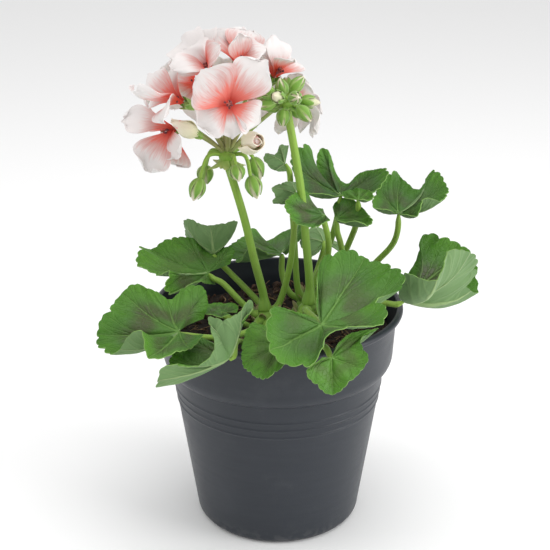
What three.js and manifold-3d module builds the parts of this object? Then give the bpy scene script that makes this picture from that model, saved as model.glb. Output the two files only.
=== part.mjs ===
// Potted geranium: a zonal geranium with one open flower head and one in bud,
// growing in a round plastic nursery pot.
// Millimetres, +Z up, origin at the middle of the pot's underside.
import * as THREE from 'three';
import { mergeVertices } from 'three/addons/utils/BufferGeometryUtils.js';
import Module from 'manifold-3d';

const wasm = await Module();
wasm.setup();

// ---------------------------------------------------------------- driving dimensions

const CLEARANCE = 0.3; // between pieces that touch

const RIM_RADIUS = 60;
const POT_HEIGHT = 111;
const WALL = 1.2;
const LIP_HEIGHT = 3.6;
const LIP_OVERHANG = 3; // how far the lip stands out from the collar
const COLLAR_HEIGHT = 20; // below the lip
const COLLAR_STEP = 4; // how far the body is set in below the collar
const BASE_RADIUS = 40.6;
const BASE_ROUND = 4.5;
const BASE_RECESS = 1.2;
const BASE_PAD_RADIUS = 12;
const FOOT_WIDTH = 5;
const DRAIN_HOLES = 6;
const DRAIN_RADIUS = 3.6;

const SOIL_DEPTH_BELOW_RIM = 16;
const SOIL_MOUND = 9; // extra height at the back of the plant

const CROWN_RADIUS = 4;
const NODE_RADIUS = 5; // of the swollen node at the end of each crown stem
const PETIOLE_RADIUS = 1.7;
const STALK_RADIUS = 2.3; // flower stalks
const PEDICEL_RADIUS = 0.9;
const LEAF_THICKNESS = 1.2;
const PETAL_THICKNESS = 0.9;
const BUD_WIDTH = 7;
const CLUSTER_BUD_WIDTH = 5.4;

// The plant grew to fill its pot: its plan spreads with the rim, and it stands on the soil.
const GROWN_IN_RIM_RADIUS = 60;
const SPREAD = RIM_RADIUS / GROWN_IN_RIM_RADIUS;
const SOIL_LEVEL = POT_HEIGHT - SOIL_DEPTH_BELOW_RIM;

// ---------------------------------------------------------------- where things grow
// Points are measured from the middle of the soil's surface.

const CROWN_STEMS = {
  left: [[1, 1, -13], [-1, -1, 0], [-6, -3, 9]],
  right: [[3, 2, -13], [8, 0, 0], [14, -4, 13]],
  back: [[3, 4, -13], [7, 8, 0], [15, 13, 10]],
};

// rim: the blade's edge, anticlockwise as seen from its upper side.
// bow: how far the blade sags below straight lines from its centre to its rim.
// petiole: the leaf stalk's way from the named crown stem to the blade.
const LEAVES = {
  left_big: {
    centre: [-44, -48, 22],
    rim: [
      [-34, -32, 21], [-33, -26, 31], [-36, -24, 34], [-43, -24, 34], [-49, -30, 30],
      [-57, -29, 34], [-67, -28, 35], [-79, -42, 26], [-80, -52, 16], [-73, -60, 16],
      [-61, -62, 26], [-55, -72, 23], [-45, -72, 22], [-37, -60, 20], [-33, -51, 22],
    ],
    bow: 0.1,
    from: 'left',
    petiole: [[-10, -10, 9], [-14, -27, 12], [-28, -42, 16]],
  },
  left_upper: {
    centre: [-33, 0, 31],
    rim: [
      [-23, 8, 32], [-22, 14, 38], [-34, 16, 37], [-42, 18, 42], [-51, 16, 42], [-59, 10, 39],
      [-66, 6, 41], [-67, 0, 40], [-66, -8, 38], [-58, -16, 36], [-50, -19, 39],
      [-53, -22, 32], [-50, -23, 28], [-43, -22, 33], [-37, -14, 31], [-30, 4, 23],
    ],
    bow: 0.05,
    from: 'left',
    petiole: [[-12, -3, 11], [-20, -2, 19], [-27, 0, 26]],
  },
  left_folded: {
    centre: [-31, 12, 36],
    rim: [
      [-37, 30, 32], [-46, 30, 39], [-45, 22, 50], [-34, 16, 49], [-20, 22, 49],
      [-25, 34, 39], [-29, 32, 32],
    ],
    bow: 0.08,
    from: 'left',
    petiole: [[-8, 6, 11], [-17, 12, 19], [-25, 16, 26]],
  },
  rim_cupped: {
    centre: [-21, -64, 17],
    rim: [
      [-30, -51, 18], [-33, -47, 18], [-38, -46, 18], [-44, -49, 16], [-47, -54, 13],
      [-49, -62, 10], [-52, -74, 6], [-50, -76, 16], [-42, -76, 17], [-35, -74, 18],
      [-29, -72, 21], [-27, -68, 26], [-29, -66, 31], [-30, -64, 36], [-26, -66, 36],
      [-22, -66, 36], [-18, -62, 37], [-12, -54, 40], [-12, -58, 37], [-16, -62, 32],
      [-19, -64, 28], [-20, -64, 23],
    ],
    bow: 0.06,
    from: 'left',
    petiole: [[-6, -15, 5], [-13, -40, 12], [-19, -53, 19.5]],
  },
  left_inner: {
    centre: [-26, -24, 21],
    rim: [
      [-19, -20, 19], [-19, -14, 20], [-27, -18, 23], [-33, -25, 25], [-34, -30, 24],
      [-29, -32, 22], [-22, -29, 22],
    ],
    bow: 0.02,
    from: 'left',
    petiole: [[-11, -7, 5], [-19, -16, 13]],
  },
  front_big: {
    centre: [19, -48, 25],
    rim: [
      [16, -46, 28], [9, -50, 32], [-3, -56, 37], [-7, -66, 32], [-2, -72, 22], [7, -74, 17],
      [15, -72, 17], [21, -66, 28], [31, -64, 30], [43, -62, 31], [48, -52, 34], [45, -42, 34],
      [57, -36, 38], [54, -26, 42], [41, -20, 46], [33, -18, 49], [22, -20, 47], [18, -26, 40],
      [17, -40, 31],
    ],
    bow: 0.04,
    from: 'right',
    petiole: [[13, -16, 18], [18, -32, 20]],
  },
  front_low: {
    centre: [23, -66, 18],
    rim: [
      [19, -68, 19], [12, -74, 14], [22, -74, 4], [31, -72, 9], [39, -66, 17], [36, -60, 23],
      [44, -54, 26], [32, -58, 26], [26, -62, 23],
    ],
    bow: 0.05,
    from: 'right',
    petiole: [[10, -16, 11], [16, -40, 13], [21, -56, 18]],
  },
  front_side: {
    centre: [1, -58, 21],
    rim: [
      [-4, -44, 22], [-12, -46, 25], [-16, -55, 18], [-15, -64, 12], [-7, -67, 8],
      [1, -65, 12], [5, -62, 19],
    ],
    bow: 0.02,
    from: 'right',
    petiole: [[3, -14, 9], [3, -34, 11], [2, -50, 17]],
  },
  right_cup: {
    centre: [59, -10, 21],
    rim: [
      [57, -30, 43], [64, -36, 42], [71, -38, 44], [78, -30, 52], [90, -14, 46], [95, -8, 35],
      [90, -6, 26], [96, 0, 20], [95, 16, 33], [86, 18, 40], [71, 14, 45], [67, 8, 34],
      [61, 4, 26],
    ],
    bow: 0.14,
    from: 'right',
    petiole: [[23, -6, 13], [38, -8, 15], [50, -9, 19]],
  },
  right_upper: {
    centre: [57, 6, 59],
    rim: [
      [58, -2, 61], [64, -8, 63], [69, -2, 68], [77, 2, 66], [81, 10, 68], [77, 22, 74],
      [73, 22, 72], [67, 18, 66], [58, 24, 72], [53, 20, 74], [47, 12, 69], [44, 0, 65],
      [53, 0, 62],
    ],
    bow: 0.1,
    from: 'back',
    petiole: [[22, 13, 14], [38, 14, 19], [47, 14, 30], [55, 10, 41], [57, 7, 50]],
  },
  back_tall: {
    centre: [30, 14, 65],
    rim: [
      [39, 4, 69], [45, 4, 70], [53, 10, 78], [47, 16, 77], [40, 20, 74], [33, 22, 68],
      [26, 28, 75], [24, 32, 82], [20, 32, 82], [18, 28, 73], [15, 28, 83], [10, 24, 86],
      [6, 18, 83], [8, 10, 72], [12, 6, 69], [24, 6, 68],
    ],
    bow: 0.08,
    from: 'back',
    petiole: [[16, 17, 14], [22, 22, 26], [28, 20, 48]],
  },
  mid_left: {
    centre: [22, -6, 62],
    rim: [
      [21, 0, 63], [15, -2, 65], [12, -2, 72], [7, -10, 74], [3, -18, 72], [5, -20, 65],
      [13, -18, 60], [17, -14, 59], [24, -10, 61],
    ],
    bow: 0.08,
    from: 'right',
    petiole: [[18, 2, 15], [21, 4, 26], [24, 0, 42], [23, -4, 52]],
  },
  mid_right: {
    centre: [27, 4, 57],
    rim: [
      [27, -2, 58], [38, -10, 59], [44, -8, 59], [42, -2, 61], [36, 10, 64], [29, 16, 62],
      [26, 12, 60],
    ],
    bow: 0.08,
    from: 'back',
    petiole: [[22, 8, 14], [31, 10, 32], [30, 6, 43], [28, 4, 50]],
  },
  young: {
    centre: [37, 0, 68],
    rim: [[38, -4, 69], [44, -4, 69], [43, 2, 71], [37, 6, 71], [30, 6, 69], [31, 2, 68]],
    bow: 0.1,
    from: 'back',
    petiole: [[24, 17, 14], [33, 20, 34], [38, 8, 55]],
  },
  back_low: {
    centre: [2, 24, 32],
    rim: [
      [4, 30, 28], [12, 34, 36], [12, 40, 41], [-2, 44, 32], [-10, 44, 32], [-13, 44, 37],
      [-18, 36, 35], [-25, 26, 33], [-21, 16, 29], [-14, 8, 38], [-6, 8, 38], [1, 14, 34],
    ],
    bow: 0.05,
    from: 'back',
    petiole: [[6, 16, 13], [2, 21, 22]],
  },
  back_inner: {
    centre: [23, 40, 31],
    rim: [
      [22, 34, 30], [16, 30, 27], [11, 34, 34], [16, 44, 37], [23, 50, 35], [29, 48, 29],
      [37, 46, 26], [32, 38, 26],
    ],
    bow: 0.05,
    from: 'back',
    petiole: [[17, 24, 14], [21, 34, 22]],
  },
  stalk_scalloped: {
    centre: [3, 14, 80],
    rim: [
      [4, 10, 78], [-2, 8, 79], [-6, 8, 84], [-6, 12, 86], [-1, 16, 85], [1, 20, 88],
      [5, 22, 87],
    ],
    bow: 0.05,
    from: 'back',
    petiole: [[10, 10, 16], [8, 14, 42], [6, 15, 68]],
  },
  stalk_toothed: {
    centre: [8, 0, 70],
    rim: [[5, -6, 67], [-2, -10, 69], [-1, -8, 72], [-3, -6, 75], [3, 0, 76], [9, 6, 74]],
    bow: 0.05,
    from: 'left',
    petiole: [[0, 1, 13], [6, 4, 34], [8, 3, 57]],
  },
};

const OPEN_HUB = [-23, -10, 92]; // where the open flower head's pedicels meet
const BUD_HUB = [4, -8, 116];

// The flower stalks' ways up from the crown, each to the foot of its hub.
const STALKS = {
  open_head: { from: 'left', way: [[-7, -2, 20], [-11, -4, 38], [-16, -7, 62]], to: OPEN_HUB },
  bud_head: { from: 'right', way: [[15, -4, 24], [13, -5, 49], [10, -6, 77]], to: BUD_HUB },
};

// Each flower: the throat where its petals meet, the way it faces, its petal tips and widths.
const FLOWERS = {
  front: {
    throat: [-21, -34, 121],
    facing: [0.05, -0.9, 0.35],
    petals: [[-31, -39, 135, 22], [-6, -34, 140, 17], [-34, -40, 114, 17], [-20, -36, 107, 12],
      [-8, -32, 113, 14]],
  },
  top_left: {
    throat: [-29, -14, 130],
    facing: [-0.38, -0.6, 0.7],
    petals: [[-41, -16, 141, 18], [-46, 2, 145, 17], [-35, 6, 147, 15], [-45, -26, 136, 12],
      [-26, -24, 144, 12]],
  },
  top_centre: {
    throat: [-18, -6, 132],
    facing: [0.1, -0.5, 0.85],
    petals: [[-27, 4, 147, 16], [-18, -12, 147, 11], [-13, 2, 147, 16], [-7, -8, 140, 14],
      [-20, 12, 146, 14]],
  },
  top_right: {
    throat: [-2, 4, 124],
    facing: [0.5, -0.45, 0.75],
    petals: [[-1, 6, 143, 13], [-9, 10, 142, 11], [8, 18, 131, 14], [-12, 16, 130, 13],
      [6, -4, 134, 11]],
  },
  left: {
    throat: [-41, -22, 119],
    facing: [-0.75, -0.45, 0.45],
    petals: [[-58, -14, 130, 14], [-49, -3, 132, 15], [-59, -36, 122, 15], [-49, -42, 118, 13],
      [-57, 4, 118, 14]],
  },
  low_left: {
    throat: [-46, -9, 104],
    facing: [-0.8, -0.25, -0.1],
    petals: [[-71, -6, 107, 11], [-59, -14, 85, 15], [-50, 4, 82, 13], [-43, -22, 94, 9],
      [-62, 8, 112, 14]],
  },
  right: {
    throat: [4, 12, 112],
    facing: [0.5, 0.5, 0.3],
    petals: [[12, 16, 122, 14], [21, 18, 107, 10], [20, 10, 99, 10], [12, 16, 97, 13],
      [0, 6, 97, 14]],
  },
  back_left: {
    throat: [-36, 12, 118],
    facing: [-0.3, 0.85, 0.45],
    petals: [[-52, 20, 126, 17], [-36, 16, 138, 17], [-52, 18, 108, 15], [-36, 24, 100, 15],
      [-24, 26, 122, 15]],
  },
  back_right: {
    throat: [-13, 16, 116],
    facing: [0.2, 0.95, 0.3],
    petals: [[-25, 24, 128, 15], [-8, 22, 134, 16], [-23, 24, 104, 15], [-10, 28, 98, 14],
      [2, 24, 114, 14]],
  },
};

// Hanging buds of the open head: where the pedicel meets the bud, and the bud's point.
const HANGING_BUDS = {
  hanging_left: { top: [-35, -14, 82.5], point: [-38.5, -16, 72], way: [-31, -14, 93] },
  hanging_left_back: { top: [-33, -3, 85], point: [-34, -2, 75], way: [-30, -6, 93] },
  hanging_right: { top: [-12.5, -14, 83.5], point: [-9.5, -16, 73], way: [-15, -14, 93] },
  hanging_right_back: { top: [-11.5, -4, 89], point: [-8, -3, 78], way: [-16, -6, 94] },
  hanging_middle: { top: [-19, -18, 90], point: [-17.5, -20, 82.5], way: [-20, -15, 93] },
};

const OPENING_BUDS = {
  opening_left: { base: [-35, -17, 103], tip: [-47, -23, 111.5], width: 9 },
  opening_right: { base: [-15, -16, 99.5], tip: [-8.5, -29, 104], width: 10.5 },
};

// Buds of the head in bud: each one's foot and point.
const CLUSTER_BUDS = [
  [[2.5, -12, 120], [0.5, -14, 128]],
  [[5, -8, 120.5], [11.5, -6, 127]],
  [[-1, -14, 121], [-9, -16, 122.5]],
  [[1, -18, 120], [-2, -26, 123.5]],
  [[-1, -14, 117.5], [-10, -16, 116]],
  [[2.5, -12, 114], [2, -14, 106]],
  [[6.5, -16, 119.5], [8.5, -24, 122]],
  [[9.5, -8, 116.5], [19, -8, 115.5]],
  [[8.5, -12, 115], [14.5, -16, 109]],
  [[7, -5, 113.5], [10, 0, 107]],
  [[0, -5, 114.5], [-5, 1, 110]],
  [[4, -2, 119], [4, 5, 124]],
];

// ---------------------------------------------------------------- colours

const COLOURS = {
  pot: { color: 0x30343b, roughness: 0.5 },
  soil: { color: 0x2c1d14, roughness: 0.95 },
  stem: { color: 0x6f9a3c, roughness: 0.6 },
  leaf: { color: 0x4c8a33, roughness: 0.6 },
  petal: { color: 0xf4d5cf, roughness: 0.6 },
  bud: { color: 0x86a848, roughness: 0.6 },
};

function material(look) {
  return new THREE.MeshStandardMaterial({ ...look, metalness: 0, side: THREE.DoubleSide });
}

// ---------------------------------------------------------------- solids

const plant = new THREE.Group(); // everything that grows, standing on the soil
plant.position.z = SOIL_LEVEL;

function spread([x, y, z]) {
  return new THREE.Vector3(x * SPREAD, y * SPREAD, z);
}

// A three.js geometry as a solid.
function solidOf(geometry) {
  const bare = geometry.index ? geometry : geometry.clone();
  bare.deleteAttribute('normal');
  bare.deleteAttribute('uv');
  const merged = mergeVertices(bare, 1e-4);
  const vertProperties = new Float32Array(merged.attributes.position.array);
  const triVerts = withoutSlivers(merged.index.array);
  return new wasm.Manifold(new wasm.Mesh({ numProp: 3, vertProperties, triVerts }));
}

// Leaves out triangles whose corners merged into an edge.
function withoutSlivers(corners) {
  const kept = [];
  for (let i = 0; i < corners.length; i += 3) {
    const [a, b, c] = [corners[i], corners[i + 1], corners[i + 2]];
    if (a !== b && b !== c && c !== a) kept.push(a, b, c);
  }
  return Uint32Array.from(kept);
}

function geometryOf(solid) {
  const mesh = solid.getMesh();
  const geometry = new THREE.BufferGeometry();
  const points = new Float32Array(mesh.vertProperties);
  geometry.setAttribute('position', new THREE.BufferAttribute(points, 3));
  geometry.setIndex(new THREE.BufferAttribute(new Uint32Array(mesh.triVerts), 1));
  geometry.computeVertexNormals();
  return geometry;
}

function join(solids) {
  return solids.reduce((all, next) => all.add(next));
}

function largestPiece(solid) {
  const pieces = solid.decompose();
  return pieces.reduce((best, piece) => (piece.volume() > best.volume() ? piece : best));
}

// A solid from a grid of points with a thickness across each point's normal.
// grid[i][j] runs round the sheet with i and outwards with j.
function slab(grid, thickness, hasCentre) {
  const rows = grid.length;
  const columns = grid[0].length;
  const normals = gridNormals(grid, hasCentre);
  const points = [];
  const faces = [];
  const id = (i, j, side) => {
    const first = hasCentre && j === 0 ? 0 : i;
    return ((first * columns) + j) * 2 + side;
  };
  for (let i = 0; i < rows; i += 1) {
    for (let j = 0; j < columns; j += 1) {
      for (const sign of [0.5, -0.5]) {
        const p = grid[i][j].clone().addScaledVector(normals[i][j], sign * thickness);
        points.push(p.x, p.y, p.z);
      }
    }
  }
  const quad = (a, b, c, d) => faces.push(a, b, c, a, c, d);
  for (let i = 0; i + 1 < rows; i += 1) {
    for (let j = 0; j + 1 < columns; j += 1) {
      quad(id(i, j, 0), id(i, j + 1, 0), id(i + 1, j + 1, 0), id(i + 1, j, 0));
      quad(id(i, j, 1), id(i + 1, j, 1), id(i + 1, j + 1, 1), id(i, j + 1, 1));
    }
    const last = columns - 1;
    quad(id(i, last, 0), id(i, last, 1), id(i + 1, last, 1), id(i + 1, last, 0));
    if (!hasCentre) quad(id(i, 0, 0), id(i + 1, 0, 0), id(i + 1, 0, 1), id(i, 0, 1));
  }
  for (let j = 0; j + 1 < columns; j += 1) {
    const end = rows - 1;
    quad(id(0, j, 0), id(0, j, 1), id(0, j + 1, 1), id(0, j + 1, 0));
    quad(id(end, j, 0), id(end, j + 1, 0), id(end, j + 1, 1), id(end, j, 1));
  }
  const geometry = new THREE.BufferGeometry();
  geometry.setAttribute('position', new THREE.Float32BufferAttribute(points, 3));
  geometry.setIndex(Array.from(withoutSlivers(faces)));
  return solidOf(geometry);
}

function gridNormals(grid, hasCentre) {
  const rows = grid.length;
  const columns = grid[0].length;
  const normals = grid.map((row, i) => row.map((_, j) => {
    const back = grid[Math.max(i - 1, 0)];
    const ahead = grid[Math.min(i + 1, rows - 1)];
    const column = hasCentre ? Math.max(j, 1) : j;
    const across = ahead[column].clone().sub(back[column]);
    const outer = grid[i][Math.min(j + 1, columns - 1)];
    const along = outer.clone().sub(grid[i][Math.max(j - 1, 0)]);
    return along.cross(across).normalize();
  }));
  if (hasCentre) {
    const middle = new THREE.Vector3();
    normals.forEach((row) => middle.add(row[1]));
    middle.normalize();
    normals.forEach((row) => { row[0] = middle; });
  }
  return normals;
}

// ---------------------------------------------------------------- pieces of plant

const STEPS_BETWEEN_RIM_POINTS = 2;
const RINGS = 2;

function leafGrid(leaf, extra = 0) {
  const centre = spread(leaf.centre);
  const rim = leaf.rim.map(spread);
  const curve = new THREE.CatmullRomCurve3(rim, false, 'catmullrom', 0.5);
  const steps = (rim.length - 1) * STEPS_BETWEEN_RIM_POINTS;
  const rays = [];
  for (let i = 0; i <= steps; i += 1) {
    const ray = curve.getPoint(i / steps).sub(centre);
    rays.push(ray.setLength(ray.length() + extra));
  }
  const up = rays.map((ray, i) => {
    const next = rays[Math.min(i + 1, steps)];
    const last = rays[Math.max(i - 1, 0)];
    return last.clone().cross(next).normalize();
  });
  return rays.map((ray, i) => {
    const row = [];
    for (let j = 0; j <= RINGS; j += 1) {
      const share = j / RINGS;
      const sag = leaf.bow * ray.length() * 4 * share * (1 - share);
      row.push(centre.clone().addScaledVector(ray, share).addScaledVector(up[i], -sag));
    }
    return row;
  });
}

function blade(leaf, extra) {
  return slab(leafGrid(leaf, extra), LEAF_THICKNESS + 2 * extra, true);
}

function bladeNormal(leaf) {
  return gridNormals(leafGrid(leaf), true)[0][0];
}

const TUBE_SIDES = 6;

function tube(points, radius, steps, sides = TUBE_SIDES) {
  const ring = new THREE.Shape();
  for (let k = 0; k < sides; k += 1) {
    const turn = (2 * Math.PI * k) / sides;
    const [x, y] = [radius * Math.cos(turn), radius * Math.sin(turn)];
    if (k === 0) ring.moveTo(x, y);
    else ring.lineTo(x, y);
  }
  const extrudePath = new THREE.CatmullRomCurve3(points, false, 'centripetal');
  return solidOf(new THREE.ExtrudeGeometry(ring, { steps, bevelEnabled: false, extrudePath }));
}

const CROWN_STEPS = 4;
const CURVE_STEPS = 1.5; // steps of a tube between its way points, on average
const PETIOLE_RUN_IN = 4; // the last stretch turns towards the blade's underside
const PETIOLE_TURN = 0.5;
const STALK_SIDES = 8;
const HUB_LENGTH = 7;
const HUB_WIDTH = 8;

// Each crown stem ends in a swollen node, where the leaf stalks leave it.
function crown(extra) {
  const parts = Object.values(CROWN_STEMS).flatMap((way) => {
    const node = new THREE.IcosahedronGeometry(NODE_RADIUS + extra, 1);
    const tip = spread(way.at(-1));
    return [
      tube(way.map(spread), CROWN_RADIUS + extra, CROWN_STEPS),
      solidOf(node.translate(tip.x, tip.y, tip.z)),
    ];
  });
  return join(parts);
}

// The point on a swollen node's surface that faces another point, clear of the node.
function offNode(stem, towards) {
  const middle = spread(CROWN_STEMS[stem].at(-1));
  return towards.clone().sub(middle).setLength(NODE_RADIUS + CLEARANCE).add(middle);
}

function petiole(leaf, extra) {
  const up = bladeNormal(leaf);
  const stops = leaf.petiole.map(spread);
  const run = spread(leaf.centre).sub(stops.at(-1)).normalize().addScaledVector(up, PETIOLE_TURN);
  const end = spread(leaf.centre)
    .addScaledVector(up, -LEAF_THICKNESS / 2 - CLEARANCE)
    .sub(run.setLength(PETIOLE_RADIUS));
  const before = end.clone().sub(run.setLength(PETIOLE_RUN_IN));
  const way = [offNode(leaf.from, stops[0]), ...stops, before, end];
  const steps = Math.round((way.length - 1) * CURVE_STEPS);
  return tube(way, PETIOLE_RADIUS + extra, steps);
}

function stalk({ from, way, to }, extra) {
  const end = spread(to);
  end.z -= HUB_LENGTH / 2 + CLEARANCE;
  const points = [...way.map(spread), end];
  const steps = Math.round(points.length * CURVE_STEPS);
  return tube([offNode(from, points[0]), ...points], STALK_RADIUS + extra, steps, STALK_SIDES);
}

const BUD_SIDES = 6;
const BUD_OUTLINE = [[0.75, 0.12], [1, 0.42], [0.6, 0.8]]; // shares of its half width and length

// A pointed egg from foot to point, widest a little above its foot.
function bud(foot, point, width, extra) {
  const length = foot.distanceTo(point);
  const half = width / 2 + extra;
  const outline = BUD_OUTLINE.map(([out, up]) => [half * out, length * up]);
  const profile = [[0, -extra], ...outline, [0, length + extra]]
    .map(([x, y]) => new THREE.Vector2(x, y));
  const geometry = new THREE.LatheGeometry(profile, BUD_SIDES);
  const along = point.clone().sub(foot).normalize();
  geometry.applyQuaternion(new THREE.Quaternion().setFromUnitVectors(
    new THREE.Vector3(0, 1, 0), along,
  ));
  geometry.translate(foot.x, foot.y, foot.z);
  return solidOf(geometry);
}

const PETAL_ROWS = 3;
const PETAL_CLAW = 0.14; // width at the throat, as a share of the petal's width
const PETAL_WIDEST = 0.66;
const PETAL_BLUNT = 0.3; // width at the tip, as a share of the petal's width
const PETAL_CUP = 0.12;
const THROAT_OFFSET = 1.5;
const HEART_REACH = 3; // how far the flower's heart stands out of the throat
const CALYX_LENGTH = 6;
const CALYX_WIDTH = 5;

function petalShare(along) {
  if (along < PETAL_WIDEST) {
    return THREE.MathUtils.lerp(PETAL_CLAW, 1, THREE.MathUtils.smoothstep(along, 0, PETAL_WIDEST));
  }
  const past = (along - PETAL_WIDEST) / (1 - PETAL_WIDEST);
  return Math.sqrt(Math.max(1 - past * past, PETAL_BLUNT ** 2));
}

// A petal is an obovate sheet from the throat to its tip, cupped towards the way it faces.
function petal(flower, [x, y, z, width], extra) {
  const throat = spread(flower.throat);
  const along = spread([x, y, z]).sub(throat);
  const length = along.length() + extra;
  along.normalize();
  const face = new THREE.Vector3(...flower.facing);
  face.addScaledVector(along, -face.dot(along)).normalize();
  const side = along.clone().cross(face);
  const grid = [-1, 0, 1].map((across) => {
    const row = [];
    for (let j = 0; j <= PETAL_ROWS; j += 1) {
      const share = j / PETAL_ROWS;
      const half = ((width / 2) * petalShare(share) + extra) * across;
      const lift = PETAL_CUP * width * across * across;
      row.push(throat.clone()
        .addScaledVector(along, THROAT_OFFSET + share * (length - THROAT_OFFSET))
        .addScaledVector(side, half)
        .addScaledVector(face, lift * share));
    }
    return row;
  });
  return slab(grid, PETAL_THICKNESS + 2 * extra, false);
}

function calyxFoot(flower) {
  const facing = new THREE.Vector3(...flower.facing).normalize();
  return spread(flower.throat).addScaledVector(facing, -CALYX_LENGTH);
}

function flowerHead(flower, extra) {
  const facing = new THREE.Vector3(...flower.facing).normalize();
  const front = spread(flower.throat).addScaledVector(facing, HEART_REACH);
  const heart = bud(calyxFoot(flower), front, CALYX_WIDTH, extra);
  return join([heart, ...flower.petals.map((tip) => petal(flower, tip, extra))]);
}

const PEDICEL_SIDES = 4;
const PEDICEL_START = 2.6; // from the hub's middle
const PEDICEL_END = 0.2; // how far along a cluster bud its pedicel reaches inside it
function hub(at, extra) {
  const middle = spread(at);
  const foot = middle.clone().add(new THREE.Vector3(0, 0, -HUB_LENGTH / 2));
  const top = middle.clone().add(new THREE.Vector3(0, 0, HUB_LENGTH / 2));
  return bud(foot, top, HUB_WIDTH, extra);
}

function pedicel(middle, to, extra) {
  const from = to.clone().sub(middle).setLength(PEDICEL_START).add(middle);
  return tube([from, to], PEDICEL_RADIUS + extra, 1, PEDICEL_SIDES);
}

// The open head's pedicels, joined at the hub: to each flower, opening bud and hanging bud.
function openHead(extra) {
  const middle = spread(OPEN_HUB);
  const toFlowers = Object.values(FLOWERS)
    .map((flower) => pedicel(middle, calyxFoot(flower), extra));
  const toOpening = Object.values(OPENING_BUDS)
    .map(({ base }) => pedicel(middle, spread(base), extra));
  const toHanging = Object.values(HANGING_BUDS).map(({ top, way }) => (
    tube([middle, spread(way), spread(top)], PEDICEL_RADIUS + extra, 3, PEDICEL_SIDES)));
  return join([hub(OPEN_HUB, extra), ...toFlowers, ...toOpening, ...toHanging]);
}

function budHead(extra) {
  const middle = spread(BUD_HUB);
  const buds = CLUSTER_BUDS.flatMap(([foot, point]) => [
    bud(spread(foot), spread(point), CLUSTER_BUD_WIDTH, extra),
    pedicel(middle, spread(foot).lerp(spread(point), PEDICEL_END), extra),
  ]);
  return join([hub(BUD_HUB, extra), ...buds]);
}

// ---------------------------------------------------------------- pot and soil

const POT_SEGMENTS = 36;
const COLLAR_RADIUS = RIM_RADIUS - LIP_OVERHANG;
const LIP_BOTTOM = POT_HEIGHT - LIP_HEIGHT;
const COLLAR_BOTTOM = LIP_BOTTOM - COLLAR_HEIGHT;
const STEP_HEIGHT = 7; // height over which the wall draws in below the collar
const BODY_TOP = COLLAR_BOTTOM - STEP_HEIGHT;
const COLLAR_TAPER = 1.2;
const BODY_RADIUS = COLLAR_RADIUS - COLLAR_TAPER - COLLAR_STEP;
const STEP_MIDDLE = [0.65, 0.45]; // where the drawn-in wall bends, as shares of its width and height
const FLOOR_TOP = BASE_RECESS + WALL;
const EDGE_BEVEL = 1; // of the lip's top edge and of the base's recess
const ROUND_MIDDLE = 0.3 * BASE_ROUND; // how far the base's rounded edge is cut back at its middle
const DRAIN_SIDES = 10;

function outerWall(extra) {
  const [out, up] = STEP_MIDDLE;
  return [
    [BASE_RADIUS - BASE_ROUND, -extra],
    [BASE_RADIUS - ROUND_MIDDLE + extra, ROUND_MIDDLE - extra],
    [BASE_RADIUS + extra, BASE_ROUND],
    [BODY_RADIUS + extra, BODY_TOP],
    [BODY_RADIUS + COLLAR_STEP * out + extra, BODY_TOP + STEP_HEIGHT * up],
    [COLLAR_RADIUS - COLLAR_TAPER + extra, COLLAR_BOTTOM],
    [COLLAR_RADIUS + extra, LIP_BOTTOM - extra],
    [RIM_RADIUS + extra, LIP_BOTTOM - extra],
    [RIM_RADIUS + extra, POT_HEIGHT - EDGE_BEVEL],
    [RIM_RADIUS - EDGE_BEVEL, POT_HEIGHT + extra],
  ];
}

function innerWall(extra) {
  return [
    [COLLAR_RADIUS - extra, POT_HEIGHT + extra],
    [COLLAR_RADIUS - WALL - extra, LIP_BOTTOM],
    [COLLAR_RADIUS - COLLAR_TAPER - WALL - extra, COLLAR_BOTTOM],
    [BODY_RADIUS - WALL - extra, BODY_TOP],
    [BASE_RADIUS - WALL - extra, BASE_ROUND],
    [BASE_RADIUS - BASE_ROUND - extra, FLOOR_TOP + extra],
    [0, FLOOR_TOP + extra],
  ];
}

function revolve(profile, segments = POT_SEGMENTS) {
  const geometry = new THREE.LatheGeometry(profile.map(([x, y]) => new THREE.Vector2(x, y)), segments);
  geometry.rotateX(Math.PI / 2);
  return solidOf(geometry);
}

function pot(extra) {
  const footInside = BASE_RADIUS - BASE_ROUND - FOOT_WIDTH;
  const shell = revolve([
    [0, -extra], [BASE_PAD_RADIUS, -extra], [BASE_PAD_RADIUS + EDGE_BEVEL, BASE_RECESS],
    [footInside - EDGE_BEVEL, BASE_RECESS], [footInside, -extra],
    ...outerWall(extra), ...innerWall(extra),
  ]);
  if (extra > 0) return shell;
  const holeCircle = (BASE_PAD_RADIUS + footInside) / 2;
  const holes = Array.from({ length: DRAIN_HOLES }, (_, k) => {
    const turn = (2 * Math.PI * k) / DRAIN_HOLES;
    const hole = new THREE.CylinderGeometry(DRAIN_RADIUS, DRAIN_RADIUS, 4 * FLOOR_TOP, DRAIN_SIDES);
    hole.rotateX(Math.PI / 2);
    hole.translate(holeCircle * Math.cos(turn), holeCircle * Math.sin(turn), FLOOR_TOP);
    return solidOf(hole);
  });
  return shell.subtract(join(holes));
}

// Radius of the pot's inside at a height.
function insideRadius(height) {
  const wall = innerWall(0);
  for (let i = 0; i + 1 < wall.length; i += 1) {
    const [[r0, z0], [r1, z1]] = [wall[i], wall[i + 1]];
    if (height <= z0 && height >= z1) return THREE.MathUtils.mapLinear(height, z1, z0, r1, r0);
  }
  return wall[0][0];
}

const SOIL_GAP = 0.1; // more than the clearance, so that trimming leaves the soil's side alone
const SOIL_RINGS = 3;
const MOUND_CENTRE = [8, 30];
const MOUND_RADIUS = 26;
const LUMP_HEIGHT = 0.8;
const LUMP_LENGTHS = [5, 6]; // across and along
const EDGE_WIDTH = 1e-3; // the soil's rim stays level this close to its edge

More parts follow.
